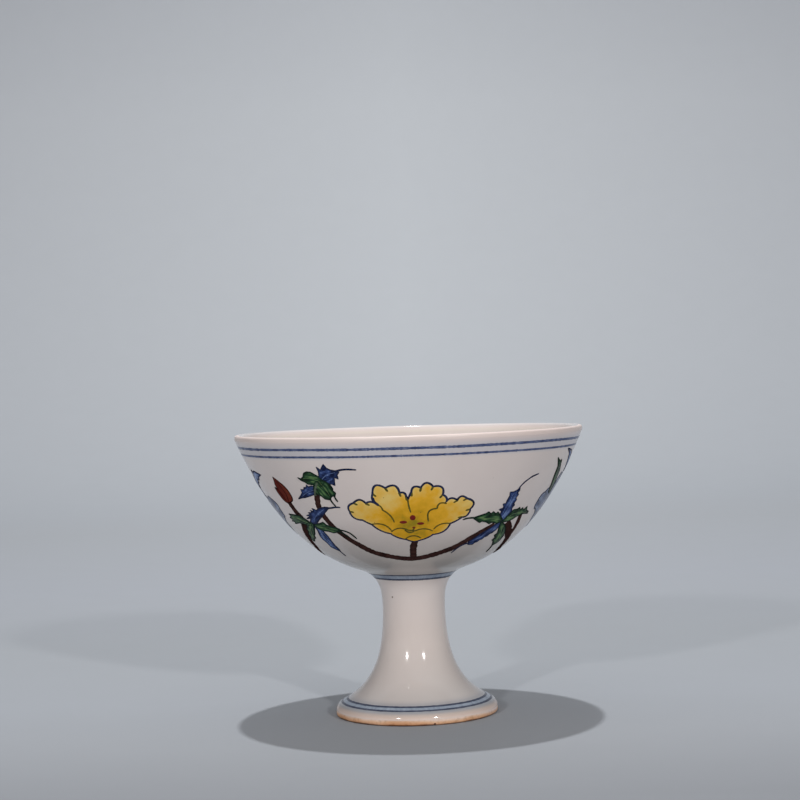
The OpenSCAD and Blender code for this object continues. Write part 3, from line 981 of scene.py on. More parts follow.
def backdrop_material(name="backdrop"):
    """Grey-blue paper with painted light falloff that pales towards its bend, and painted shade that
    darkens it to both sides.
    """
    made, tree, shader = new_material(name, 0.9)
    paper = ramp(tree, shade_of(tree), SWEEP_LIGHT_FALLOFF)
    fibres = ramp(tree, grain(tree, 60), [(0.2, (0.985, 0.985, 0.985)), (0.8, (1, 1, 1))])
    across = calculate(tree, "DIVIDE", axes(tree, coordinates(tree))["X"], 2 * SWEEP_HALF_WIDTH)
    sides = ramp(tree, calculate(tree, "ADD", across, 0.5), SIDE_PAINTED_SHADE)
    tree.links.new(multiply(tree, multiply(tree, paper, fibres), sides), shader.inputs["Base Color"])
    shader.inputs["Specular IOR Level"].default_value = 0.1
    return made


def dress(piece, material, slot, *nodes):
    """Gives a piece its material and its body, and hides the nodes that it stands for; slot is not used."""
    piece.data.materials.append(material)
    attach(piece, "root")
    if nodes:
        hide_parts(*nodes)


# Cup

def make_glaze(material):
    """The glaze over bowl and stem: its face, then back along the clay."""
    face = outside_path() + lip_path() + inside_path()
    back = outside_path(GLAZE_T, (2, 12, 6, 4, 24)) + lip_path(GLAZE_T, 4) + inside_path(GLAZE_T, 16, 6)
    back.reverse()
    dress(lathe("glaze_coat", face + back), material, "glaze", "glaze")


# The hollow: how far inside the foot ring its wall starts, and the steps of its crown
RING_IN = FOOT_R - RING_W
HOLLOW_INSET = 0.2
CROWN_STEPS = 6
# Glaze in the hollow: how far its face stands off the clay, and how far its back is sunk in it
HOLLOW_GLAZE_T = 0.2
HOLLOW_SINK = 0.02
# The foot ring's outer edge: its round's middle as a share of the break, top of its upright face as a share
# of the bare height, how far it draws in under the glaze
RING_ROUND = 0.3
RING_UPRIGHT = 0.7
RING_DRAW = 0.05


def hollow_path(depth=0):
    """The hollow's wall from the foot ring up to its crown on the axis, some way into the clay."""
    path = []
    for curve, count in zip((FOOT_CURVE, STEM_CURVE), (30, 14)):
        for i in range(count):
            point = beside(curve, i / count, STEM_WALL - depth)
            if point[0] < RING_IN - HOLLOW_INSET and point[1] > BARE_H:
                path.append(point)
    top = path[-1]
    rise = STEM_H - STEM_WALL + depth - top[1]
    for i in range(1, CROWN_STEPS + 1):
        turn = math.radians(90 * i / CROWN_STEPS)
        path.append(Vector((top[0] * math.cos(turn), top[1] + rise * math.sin(turn))))
    path[-1][0] = 0
    return path


def make_stem(material):
    """The stem's clay, with its bare foot ring and the hollow."""
    ring = ((RING_IN, BARE_H), (RING_IN, RING_BREAK), (RING_IN + RING_BREAK, 0), (FOOT_R - RING_BREAK, 0),
            (FOOT_R - RING_BREAK * RING_ROUND, RING_BREAK * RING_ROUND), (FOOT_R, RING_BREAK),
            (FOOT_R, BARE_H * RING_UPRIGHT), (FOOT_R - RING_DRAW, BARE_H),
            (FOOT_R - GLAZE_T, BARE_H + RING_DRAW))
    path = [Vector((0, STEM_H - GLAZE_T))] + hollow_path()[::-1] + [Vector(corner) for corner in ring]
    for curve, count in zip((EDGE_CURVE, FOOT_CURVE, STEM_CURVE), (6, 24, 12)):
        for i in range(count):
            path.append(beside(curve, (i + 1) / count, GLAZE_T))
    dress(lathe("stem_clay", path, 192), material, "clay", "stem")


def make_hollow(material):
    """Glaze in the stem's hollow."""
    path = hollow_path(-HOLLOW_GLAZE_T) + hollow_path(HOLLOW_SINK)[::-1]
    dress(lathe("hollow_coat", path, 144), material, "glaze", "hollow_glaze")


# Lines round the cup: places in each, pace of their wander, how far a brush's seed is past its route's, and
# the washes' seed
RING_STEPS = 900
RING_PACE = 2.2
BRUSH_SEED = 8
WASH_SEED = 9


def ring_route(drop, sag, seed):
    """Places all round the cup at a drop, with the brush's slow wander."""
    route = []
    for i in range(RING_STEPS):
        angle = 360 * i / RING_STEPS
        a = math.radians(angle)
        wander = noise.noise(Vector((math.cos(a) * RING_PACE, math.sin(a) * RING_PACE, seed)))
        route.append((angle, drop + sag * wander))
    return route


def make_pair(node, ink, drops, widths, sag, seed, rough=STROKE_ROUGH):
    """Two cobalt lines round the cup, for the node of that name."""
    pair = Coat()
    for i, (drop, width) in enumerate(zip(drops, widths)):
        route = ring_route(drop, sag, seed + i)
        pair.stroke(route, width, INK_LIFT, seed=seed + BRUSH_SEED + i, closed=True, rough=rough)
    dress(pair.build(node + "_ink"), ink, "cobalt_line", node)


def make_lines(lip_ink, low_ink):
    """Three pairs of cobalt lines: under the lip, at the joint and over the foot's edge."""
    make_pair("lip_lines", lip_ink, LIP_LINE_DROPS, LIP_LINE_WIDTHS, LIP_LINE_WANDER, 3, LIP_LINE_ROUGH)
    joint = WALL.drop_of(NECK_CURVE, 0)
    low = WALL.drop_of(FOOT_CURVE, 0) - FOOT_LINE_UP
    widths = (LOW_LINE_W, LOW_LINE_W)
    neck_drops = (joint - NECK_LINE_UP, joint + NECK_LINE_DOWN)
    foot_drops = (low - FOOT_LINE_STEP, low)
    make_pair("neck_lines", low_ink, neck_drops, widths, LOW_LINE_WANDER, 5)
    make_pair("foot_lines", low_ink, foot_drops, widths, LOW_LINE_WANDER, 7)


def make_washes(material):
    """Thin cobalt washes between the pairs of lines at the joint and the foot."""
    joint = WALL.drop_of(NECK_CURVE, 0)
    low = WALL.drop_of(FOOT_CURVE, 0) - FOOT_LINE_UP
    bands = (("neck_wash", joint + (NECK_LINE_DOWN - NECK_LINE_UP) / 2, NECK_LINE_UP + NECK_LINE_DOWN),
             ("foot_wash", low - FOOT_LINE_STEP / 2, FOOT_LINE_STEP))
    for name, drop, width in bands:
        band = Coat()
        route = ring_route(drop, WASH_WANDER, WASH_SEED)
        band.stroke(route, width, WASH_LIFT, seed=WASH_SEED + BRUSH_SEED, closed=True)
        dress(band.build(name), material, "blue_wash")


# Flower scroll

# Outline of a flower: x, y and the bulge of the stretch that ends there, clockwise from the left sliver
FLOWER_LOBES = (
    (-9.3, 3.0, 0), (-11.5, 4.4, 0.03), (-14.6, 7.0, 0.2), (-13.5, 9.4, 0.3), (-10.5, 9.3, 0.33),
    (-8.1, 9.1, 0.22), (-8.7, 12.0, 0.14), (-5.7, 13.5, 0.5), (-2.5, 12.1, 0.4), (-1.0, 11.0, 0.3),
    (-0.5, 10.3, 0.05), (0.3, 12.1, 0.02), (2.5, 13.3, 0.4), (5.3, 13.5, 0.42), (7.5, 11.1, 0.4),
    (8.3, 9.0, 0.22), (11.0, 9.3, 0.32), (13.4, 9.7, 0.38), (14.1, 6.5, 0.42), (13.8, 5.4, 0.16),
    (12.2, 4.3, 0.18), (9.2, 2.5, 0.04),
)
FLOWER_BASE = (
    (9.2, 2.5, 0), (5.0, -0.9, 0.17), (2.0, -2.7, 0.06), (0.5, -3.2, 0.05),
    (-1.2, -2.3, 0.05), (-4.8, -0.2, 0.08), (-9.3, 3.0, 0.08),
)

# Lobes that are parted by a tick, as places in FLOWER_LOBES
TICKS = (2, 3, 4, 6, 7, 8, 9, 11, 12, 13, 14, 16, 17, 18, 20)
# Where the outline's cobalt has pooled between two petals
POOL = ((-8.7, 11.0), (-8.5, 10.0), (-8.0, 9.3), (-7.3, 8.6))
POOL_W = 0.95
# Yellow enamel: tone at the heart and how far it takes to pale, the pale edges, the darker base
HEART = (0.3, 3.0)
HEART_TONE = 0.1
HEART_FADE = 18
PALE_EDGE = 0.9
EDGE_PALE = 0.45
EDGE_FULL = 9
BASE_TOP = 1.0
BASE_DARK = 0.05
# Where the enamel lies thin on one petal
THIN_AT = (-4.8, 9.4)
THIN_REACH = 3.4
THIN_PALE = 0.55
# Blue wash: tone, its streaks with their pace round the heart and out from it, its pale edges
WASH_TONE = 0.35
WASH_STREAK = 0.7
WASH_ROUND = 8
WASH_OUT = 0.15
WASH_NOISE = 5
WASH_PALE = 0.6

# Lines inside a flower, between its petals and over its heart
FLOWER_LINES = (
    ((-8.0, 9.1, 0), (-6.5, 7.3, 0.14), (-3.9, 3.5, 0.1)),
    ((-0.6, 10.3, 0), (0.0, 6.4, -0.03)),
    ((8.4, 8.6, 0), (6.1, 7.3, -0.34), (3.9, 5.0, -0.26), (4.0, 3.5, 0)),
    ((-9.3, 3.0, 0), (-4.6, 0.8, 0.2)),
    ((9.2, 2.5, 0), (5.2, 0.9, -0.17)),
    ((-4.7, 0.4, 0), (-0.8, 0.9, 0.24), (0.9, 0.6, 0.0), (5.0, 0.3, 0.17)),
    ((-1.4, -2.1, 0), (2.2, -2.0, 0.27)),
    ((-1.5, 1.0, 0), (0.7, 0.4, -0.25)),
    ((0.2, 0.5, 0), (0.8, 1.7, 0)),
)

# Stamens: x, y, half width, half height
STAMENS = ((0.4, 4.8, 0.75, 0.9), (-1.8, 3.5, 0.95, 0.55), (2.2, 2.9, 0.9, 0.5), (0.6, 1.7, 0.45, 0.35))
DOT_CORNERS = 14

# A bud: outline clockwise from its tip, from the left cross
BUD = ((-5.9, 12.5, 0), (-3.7, 10.9, 0.02), (-1.8, 7.6, 0.12), (-3.1, 5.5, 0.2), (-5.2, 5.1, 0.05),
       (-6.7, 6.9, 0.12), (-7.3, 9.5, 0.06), (-6.1, 8.7, 0), (-6.5, 10.3, 0.05), (-5.9, 12.5, -0.04))
BUD_LINES = (((-5.2, 11.4), (-4.2, 9.6), (-3.6, 7.4), (-4.2, 5.4)), ((-6.6, 9.4), (-5.6, 7.6), (-4.9, 5.4)))
# A bud's tone at its middle, and its change to the right and upwards
BUD_MIDDLE = (-6, 8)
BUD_TONE = 0.42
BUD_RIGHT = 0.07
BUD_UP = -0.01

# A leaf's tone: deep along its edge, paler inside, with streaks along it
LEAF_DEEP = 0.1
LEAF_SLOPE = 0.6
STREAK_ACROSS = 2.4
STREAK_ALONG = 0.45


class Leaf:
    """A thistle-like leaf, in mm from its cluster: tone, outline, vein from the root, thin tails."""

    def __init__(self, at, pale, outline, vein, *tails):
        self.at = at
        self.pale = pale
        self.outline = outline
        self.vein = vein
        self.tails = tails

    def tone(self, x, y, inset):
        """Brush tone at a place, some way in from the edge."""
        root = Vector(self.vein[0])
        way = (Vector(self.vein[-1]) - root).normalized()
        here = Vector((x, y)) - root
        along = here.dot(way)
        across = here.dot(Vector((way[1], -way[0])))
        streak = noise.noise(Vector((across * STREAK_ACROSS, along * STREAK_ALONG, self.at[0] + self.pale)))
        share = min(inset / LEAF_SLOPE, 1)
        return LEAF_DEEP + share * (self.pale - LEAF_DEEP + streak)


GREEN_LEAVES = (
    Leaf(SPRAY, 0.38,
        ((2.8, 0.7), (2.2, 1.6), (1.6, 2.4), (0.8, 2.9), (-0.1, 3.5), (-1.3, 3.6), (-2.3, 3.2),
         (-3.0, 2.1), (-3.8, 1.7), (-4.7, 2.0), (-4.0, 1.3), (-2.9, 0.8), (-2.3, 0.3), (-1.1, 0.1),
         (0.2, 0.0), (1.4, -0.4)),
        ((2.0, 0.7), (-0.5, 1.8), (-3.0, 1.8))),
    Leaf(SPRAY, 0.33,
        ((0.3, 0.9), (2.4, 1.5), (3.6, 0.7), (4.2, -0.1), (4.4, -0.9), (4.2, -1.5), (4.7, -2.2),
         (4.2, -3.0), (3.3, -3.1), (2.4, -4.1), (1.1, -3.9), (0.5, -3.1), (-0.3, -2.7), (-1.2, -2.4),
         (-1.1, -1.2), (-0.5, 0.2)),
        ((1.4, 0.8), (2.4, -1.0), (2.9, -3.0)),
        ((4.2, -2.5), (4.0, -3.5), (4.3, -4.7)),
        ((2.5, -3.7), (2.7, -4.9), (3.2, -6.1))),
    Leaf(LEFT_CROSS, 0.52,
        ((-0.2, -0.5), (-2.6, -1.3), (-3.0, -2.4), (-3.9, -2.9), (-4.1, -4.2), (-5.0, -4.7),
         (-5.2, -5.9), (-6.2, -7.0), (-5.4, -7.7), (-4.4, -6.7), (-3.4, -6.3), (-2.9, -5.2),
         (-2.0, -4.6), (-0.6, -2.8), (0.3, -1.4)),
        ((-0.9, -1.2), (-2.6, -3.6), (-4.8, -6.5))),
    Leaf(LEFT_CROSS, 0.45,
        ((-0.6, -1.8), (-0.9, -0.3), (-1.6, 0.3), (-2.9, 1.2), (-5.0, 1.4), (-8.0, 1.5), (-7.5, 0.8),
         (-8.8, 0.3), (-7.8, -0.2), (-8.9, -0.9), (-7.5, -0.8), (-8.0, -1.6), (-5.4, -1.2), (-3.8, -1.4),
         (-2.0, -1.8)),
        ((-1.0, -0.9), (-4.0, 0.1), (-7.0, 0.2))),
    Leaf(LEFT_CROSS, 0.5,
        ((0.2, -1.4), (2.9, -0.9), (4.1, -0.5), (4.6, -1.4), (5.7, -1.9), (7.0, -2.2), (7.9, -2.9),
         (6.4, -3.7), (5.0, -4.0), (3.8, -3.5), (2.2, -3.4), (0.7, -2.6)),
        ((1.0, -1.9), (4.0, -2.2), (7.0, -2.9)),
        ((7.2, -2.8), (8.9, -3.4), (9.8, -4.2), (10.3, -5.9)),
        ((6.4, -3.2), (7.8, -4.2), (8.6, -5.4))),
    Leaf(RIGHT_CROSS, 0.5,
        ((0.5, -1.4), (-1.4, 0.4), (-2.7, 1.5), (-3.1, 1.0), (-4.2, 1.7), (-4.6, 1.1), (-5.6, 1.8),
         (-6.2, 1.3), (-7.5, 0.9), (-8.6, 0.5), (-9.0, 0.1), (-7.3, -1.0), (-6.6, -1.4), (-6.1, -1.0),
         (-4.5, -1.5), (-3.5, -2.1), (-2.9, -1.7), (-1.1, -2.2)),
        ((-0.6, -1.0), (-4.0, -0.3), (-8.0, 0.1)),
        ((-8.2, 0.25), (-9.9, 0.3), (-10.9, 0.2), (-11.7, -0.1))),
    Leaf(RIGHT_CROSS, 0.45,
        ((0.1, -1.6), (2.2, -2.9), (3.9, -4.8), (5.0, -6.9), (5.1, -8.8), (4.6, -9.9), (3.4, -10.6),
         (2.4, -8.8), (1.5, -8.2), (1.9, -7.3), (1.0, -6.4), (1.5, -5.7), (0.9, -4.2), (0.4, -3.0)),
        ((0.9, -2.4), (2.6, -5.4), (3.6, -9.2)),
        ((3.6, -9.6), (3.6, -10.8), (3.8, -12.1), (3.9, -13.5))),
    Leaf(RIGHT_CROSS, 0.55,
        ((0.3, -2.0), (1.1, -0.1), (1.9, 0.9), (2.5, 1.7), (3.8, 1.7), (4.5, 2.2), (5.2, 1.4),
         (5.9, 2.0), (6.8, 1.2), (7.7, 2.2), (8.4, 1.0), (9.8, 0.5), (9.9, -0.2), (8.4, 0.0), (6.8, 0.0),
         (5.2, -0.6), (4.0, -1.4), (2.5, -1.9)),
        ((1.0, -1.4), (3.0, 0.3), (5.5, 0.5), (8.6, 0.3))),
    Leaf(BLUE_AT, 0.18,
        ((-9.3, 8.7), (-11.4, 9.6), (-12.2, 10.9), (-13.2, 12.4), (-14.1, 13.7), (-14.8, 15.2),
         (-15.5, 16.7), (-18.2, 19.0), (-15.6, 17.9), (-15.0, 18.3), (-13.4, 16.5), (-11.9, 15.1),
         (-11.1, 13.6), (-10.1, 12.2), (-9.2, 10.4)),
        ((-9.8, 9.4), (-12.3, 13.0), (-15.4, 17.2))),
)

BLUE_LEAVES = (
    Leaf(SPRAY, 0.2,
        ((1.6, 1.4), (2.0, 2.8), (2.2, 3.7), (2.0, 4.9), (2.9, 4.1), (3.2, 4.4), (4.2, 5.6), (4.7, 4.6),
         (5.6, 4.1), (6.6, 3.9), (7.6, 3.5), (6.9, 2.8), (6.8, 1.7), (5.9, 2.1), (5.3, -0.1), (4.6, 0.3),
         (3.4, 0.4)),
        ((2.4, 1.6), (4.4, 2.9), (6.6, 3.4)),
        ((5.6, 3.7), (7.0, 3.8), (8.4, 4.1), (10.0, 4.2), (12.1, 4.05))),
    Leaf(SPRAY, 0.3,
        ((0.0, -0.9), (-0.8, -0.4), (-1.4, -0.3), (-2.3, -0.5), (-2.8, 0.0), (-3.2, -0.7), (-3.9, -0.7),
         (-4.3, -1.4), (-5.2, -1.3), (-5.2, -2.2), (-6.0, -3.0), (-7.5, -4.1), (-6.0, -3.7),
         (-4.9, -3.6), (-3.3, -3.2), (-1.7, -2.7), (-0.4, -2.2)),
        ((-1.0, -1.4), (-3.2, -2.0), (-5.6, -3.2))),
    Leaf(LEFT_CROSS, 0.52,
        ((0.1, -1.2), (2.1, -2.0), (2.0, -3.7), (2.2, -5.4), (2.0, -6.9), (1.8, -8.8), (1.9, -10.2),
         (1.5, -11.3), (0.6, -10.5), (-0.3, -9.6), (-0.3, -8.0), (-0.8, -6.5), (-0.7, -5.3),
         (0.0, -3.5)),
        ((0.9, -2.2), (0.9, -6.0), (0.9, -9.8)),
        ((1.2, -10.3), (1.4, -11.6), (1.4, -13.3))),
    Leaf(LEFT_CROSS, 0.2,
        ((-0.2, -1.7), (0.0, -0.2), (0.8, 0.6), (-0.9, 0.4), (1.2, 1.3), (-0.2, 1.4), (1.8, 2.0),
         (1.0, 2.3), (2.5, 2.5), (2.3, 3.1), (3.3, 2.7), (3.3, 3.7), (4.4, 3.2), (6.0, 3.9), (7.6, 4.2),
         (8.7, 4.1), (7.7, 3.3), (6.3, 2.3), (4.8, 1.2), (3.4, 0.3), (1.7, -1.0)),
        ((0.8, -0.8), (3.0, 1.3), (7.0, 3.6)),
        ((7.5, 3.8), (9.3, 4.0), (10.6, 4.2), (11.9, 4.2))),
    Leaf(RIGHT_CROSS, 0.36,
        ((0.5, -1.7), (-1.3, -2.5), (-2.5, -3.8), (-4.0, -5.3), (-5.0, -6.6), (-6.0, -8.0), (-5.5, -9.1),
         (-4.1, -9.2), (-3.9, -8.5), (-3.3, -8.3), (-3.0, -7.6), (-2.4, -7.4), (-2.1, -6.7),
         (-1.4, -6.4), (-1.1, -5.7), (-0.4, -5.4), (0.2, -4.4), (0.6, -3.2)),
        ((0.0, -2.8), (-2.6, -5.2), (-4.9, -7.9)),
        ((-4.9, -8.1), (-6.4, -8.7), (-7.3, -9.5), (-7.8, -10.5), (-8.1, -12.2))),
    Leaf(RIGHT_CROSS, 0.48,
        ((0.5, -1.8), (-0.8, -0.8), (-1.6, 0.8), (-1.7, 1.7), (-2.7, 2.2), (-1.8, 2.5), (-1.6, 2.9),
         (-2.3, 3.8), (-1.5, 3.9), (-1.5, 4.9), (-1.3, 6.1), (-1.7, 7.1), (-0.6, 7.1), (0.5, 7.6),
         (1.1, 8.3), (1.4, 7.4), (1.0, 6.7), (1.6, 6.2), (1.2, 5.3), (1.7, 4.7), (1.4, 3.7), (1.9, 3.1),
         (1.5, 2.2), (2.0, 1.4), (1.5, 0.5), (1.4, -0.5)),
        ((0.3, -1.0), (-0.1, 3.0), (0.5, 7.2)),
        ((0.8, 7.5), (1.1, 8.5), (2.0, 9.6), (3.0, 10.3), (4.2, 11.0), (6.4, 11.6))),
    Leaf(BLUE_AT, 0.85,
        ((-4.9, 14.6), (-5.8, 16.0), (-7.8, 17.5), (-10.2, 19.6), (-14.0, 21.2), (-9.6, 20.6),
         (-6.6, 19.2), (-4.4, 17.0), (-3.9, 14.6)),
        ((-4.6, 15.4), (-6.9, 17.9), (-9.6, 20.0))),
    Leaf(BLUE_AT, 0.85,
        ((7.4, 13.5), (8.2, 14.7), (9.4, 15.9), (10.5, 16.3), (11.5, 17.9), (12.6, 17.2), (14.1, 17.7),
         (18.2, 16.8), (15.5, 16.1), (14.1, 15.2), (13.1, 15.5), (12.1, 14.3), (10.8, 14.3), (9.6, 13.3),
         (8.2, 12.6)),
        ((8.4, 13.7), (11.6, 15.8), (16.4, 16.8))),
)

# Vines, forks and stalks as places on the cup; STALK and GREEN_STALK in mm from a flower and a spray
YELLOW_VINE = ((-36.6, 13.2), (-36.1, 13.4), (-37.8, 16.8), (-37.9, 19.6), (-36.4, 22.9), (-33.4, 26.0),
               (-28.5, 29.3), (-19, 33.5), (1, 36), (21, 32.5), (31.5, 27.9), (40, 24.4))
BLUE_VINE = ((47.9, 24.2), (51.1, 25.7), (54.9, 27.6), (59.3, 29.5), (62.6, 31.5), (65.0, 33.3),
             (68.5, 35.1), (76, 36.6), (88, 36.8), (98, 36.0), (106, 34.4), (113.5, 31.7))
BUD_VINE = ((113.5, 31.7), (118.3, 27.9), (121.5, 25.7), (125.5, 23.2), (127.3, 20.8), (126.2, 19.0),
            (125.6, 15.9))
STALK = ((0.8, -3.0), (0.3, -6.0), (0.3, -10.4))
STALK_TOP_W = 1.6
BLUE_FORK = ((54.6, 21.8), (56.3, 23.8), (57.7, 25.3), (58.8, 27.0), (60.2, 29.2), (62.4, 31.5))
GREEN_STALK = ((0.8, 0.7), (0.0, -0.3), (-0.9, -1.8), (-1.3, -2.9))


def turned(at, repeat):
    """A place on the cup, turned by degrees."""
    return at[0] + repeat, at[1]


def route_on(at, path):
    """Places on the cup of points in mm from a place."""
    return [spot(at, x, y) for x, y in path]


def pale_edge(inset):
    """1 at a petal's edge, 0 from PALE_EDGE inwards."""
    return max(1 - inset / PALE_EDGE, 0)


def flower_shade(x, y, inset):
    """Deep near the heart, paler to the petals' tips, palest along edges and on the thin patch."""
    reach = math.hypot(x - HEART[0], y - HEART[1])
    edge = EDGE_PALE * pale_edge(inset) * min(reach / EDGE_FULL, 1)
    low = max(BASE_TOP - y, 0)
    thin = max(1 - math.hypot(x - THIN_AT[0], y - THIN_AT[1]) / THIN_REACH, 0)
    return min(HEART_TONE + reach / HEART_FADE + edge + THIN_PALE * thin - BASE_DARK * low, 1)


def wash_shade(x, y, inset):
    """Brushed streaks from the heart outwards, pale along the edges."""
    reach = math.hypot(x - HEART[0], y - HEART[1])
    way = math.atan2(y - HEART[1], x - HEART[0])
    streak = noise.noise(Vector((way * WASH_ROUND, reach * WASH_OUT, WASH_NOISE)))
    return WASH_TONE + WASH_STREAK * streak + WASH_PALE * pale_edge(inset)


def bud_shade(x, y, inset):
    """Redder towards the bud's right."""
    return BUD_TONE + BUD_RIGHT * (x - BUD_MIDDLE[0]) + BUD_UP * (y - BUD_MIDDLE[1])


def paint_flower(at, fill, shade, ink, inner):
    """One flower: its fill, the lobed outline, the finer line of its base, its inner lines and ticks."""
    lobed = lobes(FLOWER_LOBES)
    base = lobes(FLOWER_BASE)
    fill.patch(at, lobed[:-1] + base[:-1], ENAMEL_LIFT, shade)
    for line, width in ((lobed, OUTLINE_W), (base, BASE_LINE_W)):
        ink.stroke(route_on(at, line), width, LINE_OVER, thin=(1, 1), seed=at[0], smooth=False)
    for line in FLOWER_LINES:
        inner.stroke(route_on(at, lobes(line)), INNER_LINE_W, LINE_OVER, thin=(0.8, 0.6), seed=at[0])
    ink.stroke(route_on(at, POOL), POOL_W, LINE_OVER, thin=(0.5, 0.6), seed=at[0])
    heart = Vector(HEART)
    for i in TICKS:
        cusp = Vector(FLOWER_LOBES[i][:2])
        end = cusp + TICK_LEN * (heart - cusp).normalized()
        tick = route_on(at, (cusp, cusp.lerp(end, 0.5), end))
        inner.stroke(tick, TICK_W, LINE_OVER, thin=(1, 0.4), seed=i)


def paint_stamens(at, dots):
    """A flower's four dots."""
    for x, y, wide, high in STAMENS:
        outline = []
        for i in range(DOT_CORNERS):
            a = -2 * math.pi * i / DOT_CORNERS
            outline.append((x + wide * math.cos(a), y + high * math.sin(a)))
        dots.patch(at, outline, DOT_LIFT)


def make_flowers(yellow, blue, ink, side_ink, olive, red):
    """Two yellow and two blue flowers, with their outlines, inner lines and stamens."""
    yellow_fill = Coat()
    blue_fill = Coat()
    outline = Coat()
    inner = Coat()
    blue_lines = Coat()
    dots = Coat()
    for repeat in REPEATS:
        front = turned(YELLOW_AT, repeat)
        side = turned(BLUE_AT, repeat)
        paint_flower(front, yellow_fill, flower_shade, outline, inner)
        paint_flower(side, blue_fill, wash_shade, blue_lines, blue_lines)
        paint_stamens(front, dots)
        paint_stamens(side, dots)
    dress(yellow_fill.build("yellow_petals_fill"), yellow, "yellow_enamel", "yellow_petals")
    dress(blue_fill.build("blue_petals_fill"), blue, "blue_wash", "blue_petals")
    dress(outline.build("petal_outlines_ink"), ink, "cobalt_outline", "petal_outlines")
    dress(inner.build("petal_lines_olive"), olive, "cobalt_outline")
    dress(blue_lines.build("petal_lines_blue"), side_ink, "cobalt_outline", "petal_outlines")
    dress(dots.build("stamens_red"), red, "red_enamel", "stamens")


# Strokes of the vine: route, width, thinning at both ends, seed, swell per mm of drop
VINES = (
    (YELLOW_VINE, VINE_W, (1, 0.9), 21, VINE_SWELL),
    (BLUE_VINE, TRUNK_W, (0.9, 0.8), 22, 0),
    (BUD_VINE, BUD_STALK_W, (1, 0.8), 23, 0),
    (BLUE_FORK, FORK_W, (0.7, 1), 24, 0),
)


def make_vine(material):
    """The vine, its forks, the flowers' stalks and the buds' stalks."""
    vine = Coat()
    for repeat in REPEATS:
        for route, width, thin, seed, swell in VINES:
            places = [turned(at, repeat) for at in route]
            vine.stroke(places, width, VINE_LIFT, thin, seed, low_swell=swell)
        for flower in (YELLOW_AT, BLUE_AT):
            stalk = route_on(turned(flower, repeat), STALK)
            vine.stroke(stalk, STALK_TOP_W, VINE_LIFT, thin=(1, 1), seed=25)
    dress(vine.build("vine_brown"), material, "brown_enamel", "vine")


def make_leaves(leaves, name, slot, lift, paint, ink, vein_paint):
    """Leaves of one colour, their dark edges and tails, and their veins."""
    bodies = Coat()
    edges = Coat()
    veins = Coat()
    for repeat in REPEATS:
        for i, leaf in enumerate(leaves):
            at = turned(leaf.at, repeat)
            top = lift + i * LEAF_STEP
            bodies.patch(at, leaf.outline, top, leaf.tone, LEAF_GRID)
            rim = route_on(at, leaf.outline + leaf.outline[:1])
            edges.stroke(rim, LEAF_EDGE_W, top + LEAF_EDGE_RISE, thin=(1, 1), seed=i, smooth=False)
            for tail in leaf.tails:
                edges.stroke(route_on(at, tail), TAIL_W, top + LEAF_EDGE_RISE, thin=(1, 0.5), seed=i)
            veins.stroke(route_on(at, leaf.vein), VEIN_W, top + VEIN_RISE, seed=i)
    dress(bodies.build(name + "_paint"), paint, slot, name)
    dress(edges.build(name + "_ink"), ink, slot)
    dress(veins.build(name + "_veins"), vein_paint, slot)


def make_stalks(paint):
    """Green stalks where the vine's ends meet the sprays."""
    stalks = Coat()
    for repeat in REPEATS:
        stalk = route_on(turned(SPRAY, repeat), GREEN_STALK)
        stalks.stroke(stalk, SPRAY_STALK_W, SPRAY_STALK_LIFT, thin=(0.6, 1), seed=41)
    dress(stalks.build("spray_stalks"), paint, "green_enamel")


def make_buds(red, dark):
    """Two buds, each with its dark edge and the lines that part its petals."""
    fill = Coat()
    ink = Coat()
    outline = lobes(BUD)
    for repeat in REPEATS:
        at = turned(LEFT_CROSS, repeat)
        fill.patch(at, outline[:-1], ENAMEL_LIFT, bud_shade)
        ink.stroke(route_on(at, outline), BUD_LINE_W, LINE_OVER, seed=31, smooth=False)
        for line in BUD_LINES:
            ink.stroke(route_on(at, line), BUD_LINE_W, LINE_OVER, seed=32)
    dress(fill.build("red_buds_fill"), red, "red_enamel", "red_buds")
    dress(ink.build("red_buds_ink"), dark, "red_enamel")


def make_cup():
    """Every piece of the cup, and the paste of the two solids that stay as the CAD made them."""
    make_glaze(glaze_material())
    make_stem(clay_material())
    make_hollow(glaze_material("hollow_glaze"))
    make_lines(paint_material("cobalt_line"), paint_material("cobalt_low_line"))
    make_washes(paint_material("cobalt_wash"))
    make_flowers(yellow_material(), paint_material("blue_wash"), paint_material("cobalt_outline"),
                 paint_material("cobalt_side_line"), paint_material("olive_line"),
                 paint_material("red_enamel"))
    make_vine(paint_material("brown_enamel"))
    make_leaves(GREEN_LEAVES, "green_leaves", "green_enamel", GREEN_LIFT, paint_material("green_enamel"),
                paint_material("green_ink"), paint_material("green_vein"))
    make_stalks(paint_material("stalk_green"))
    make_leaves(BLUE_LEAVES, "blue_leaves", "blue_enamel", BLUE_LIFT, paint_material("blue_enamel"),
                paint_material("blue_ink"), paint_material("blue_vein"))
    make_buds(paint_material("bud_red"), paint_material("bud_ink"))
    pastes = (("bowl", "clay_paste", CLAY_PASTE), ("luting_slip", "slip_paste", SLIP_PASTE))
    for node, name, tones in pastes:
        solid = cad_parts[node]
        solid.data.materials.clear()
        solid.data.materials.append(paste_material(name, tones))


# Stage

SWEEP_FRONT = -0.75
SWEEP_BEND = 0.75
SWEEP_RADIUS = 0.5
SWEEP_TOP = 1.3
SWEEP_HALF_WIDTH = 1.6
SWEEP_COLUMNS = 9
FLOOR_STEPS = 12
BEND_STEPS = 12
WALL_STEPS = 8
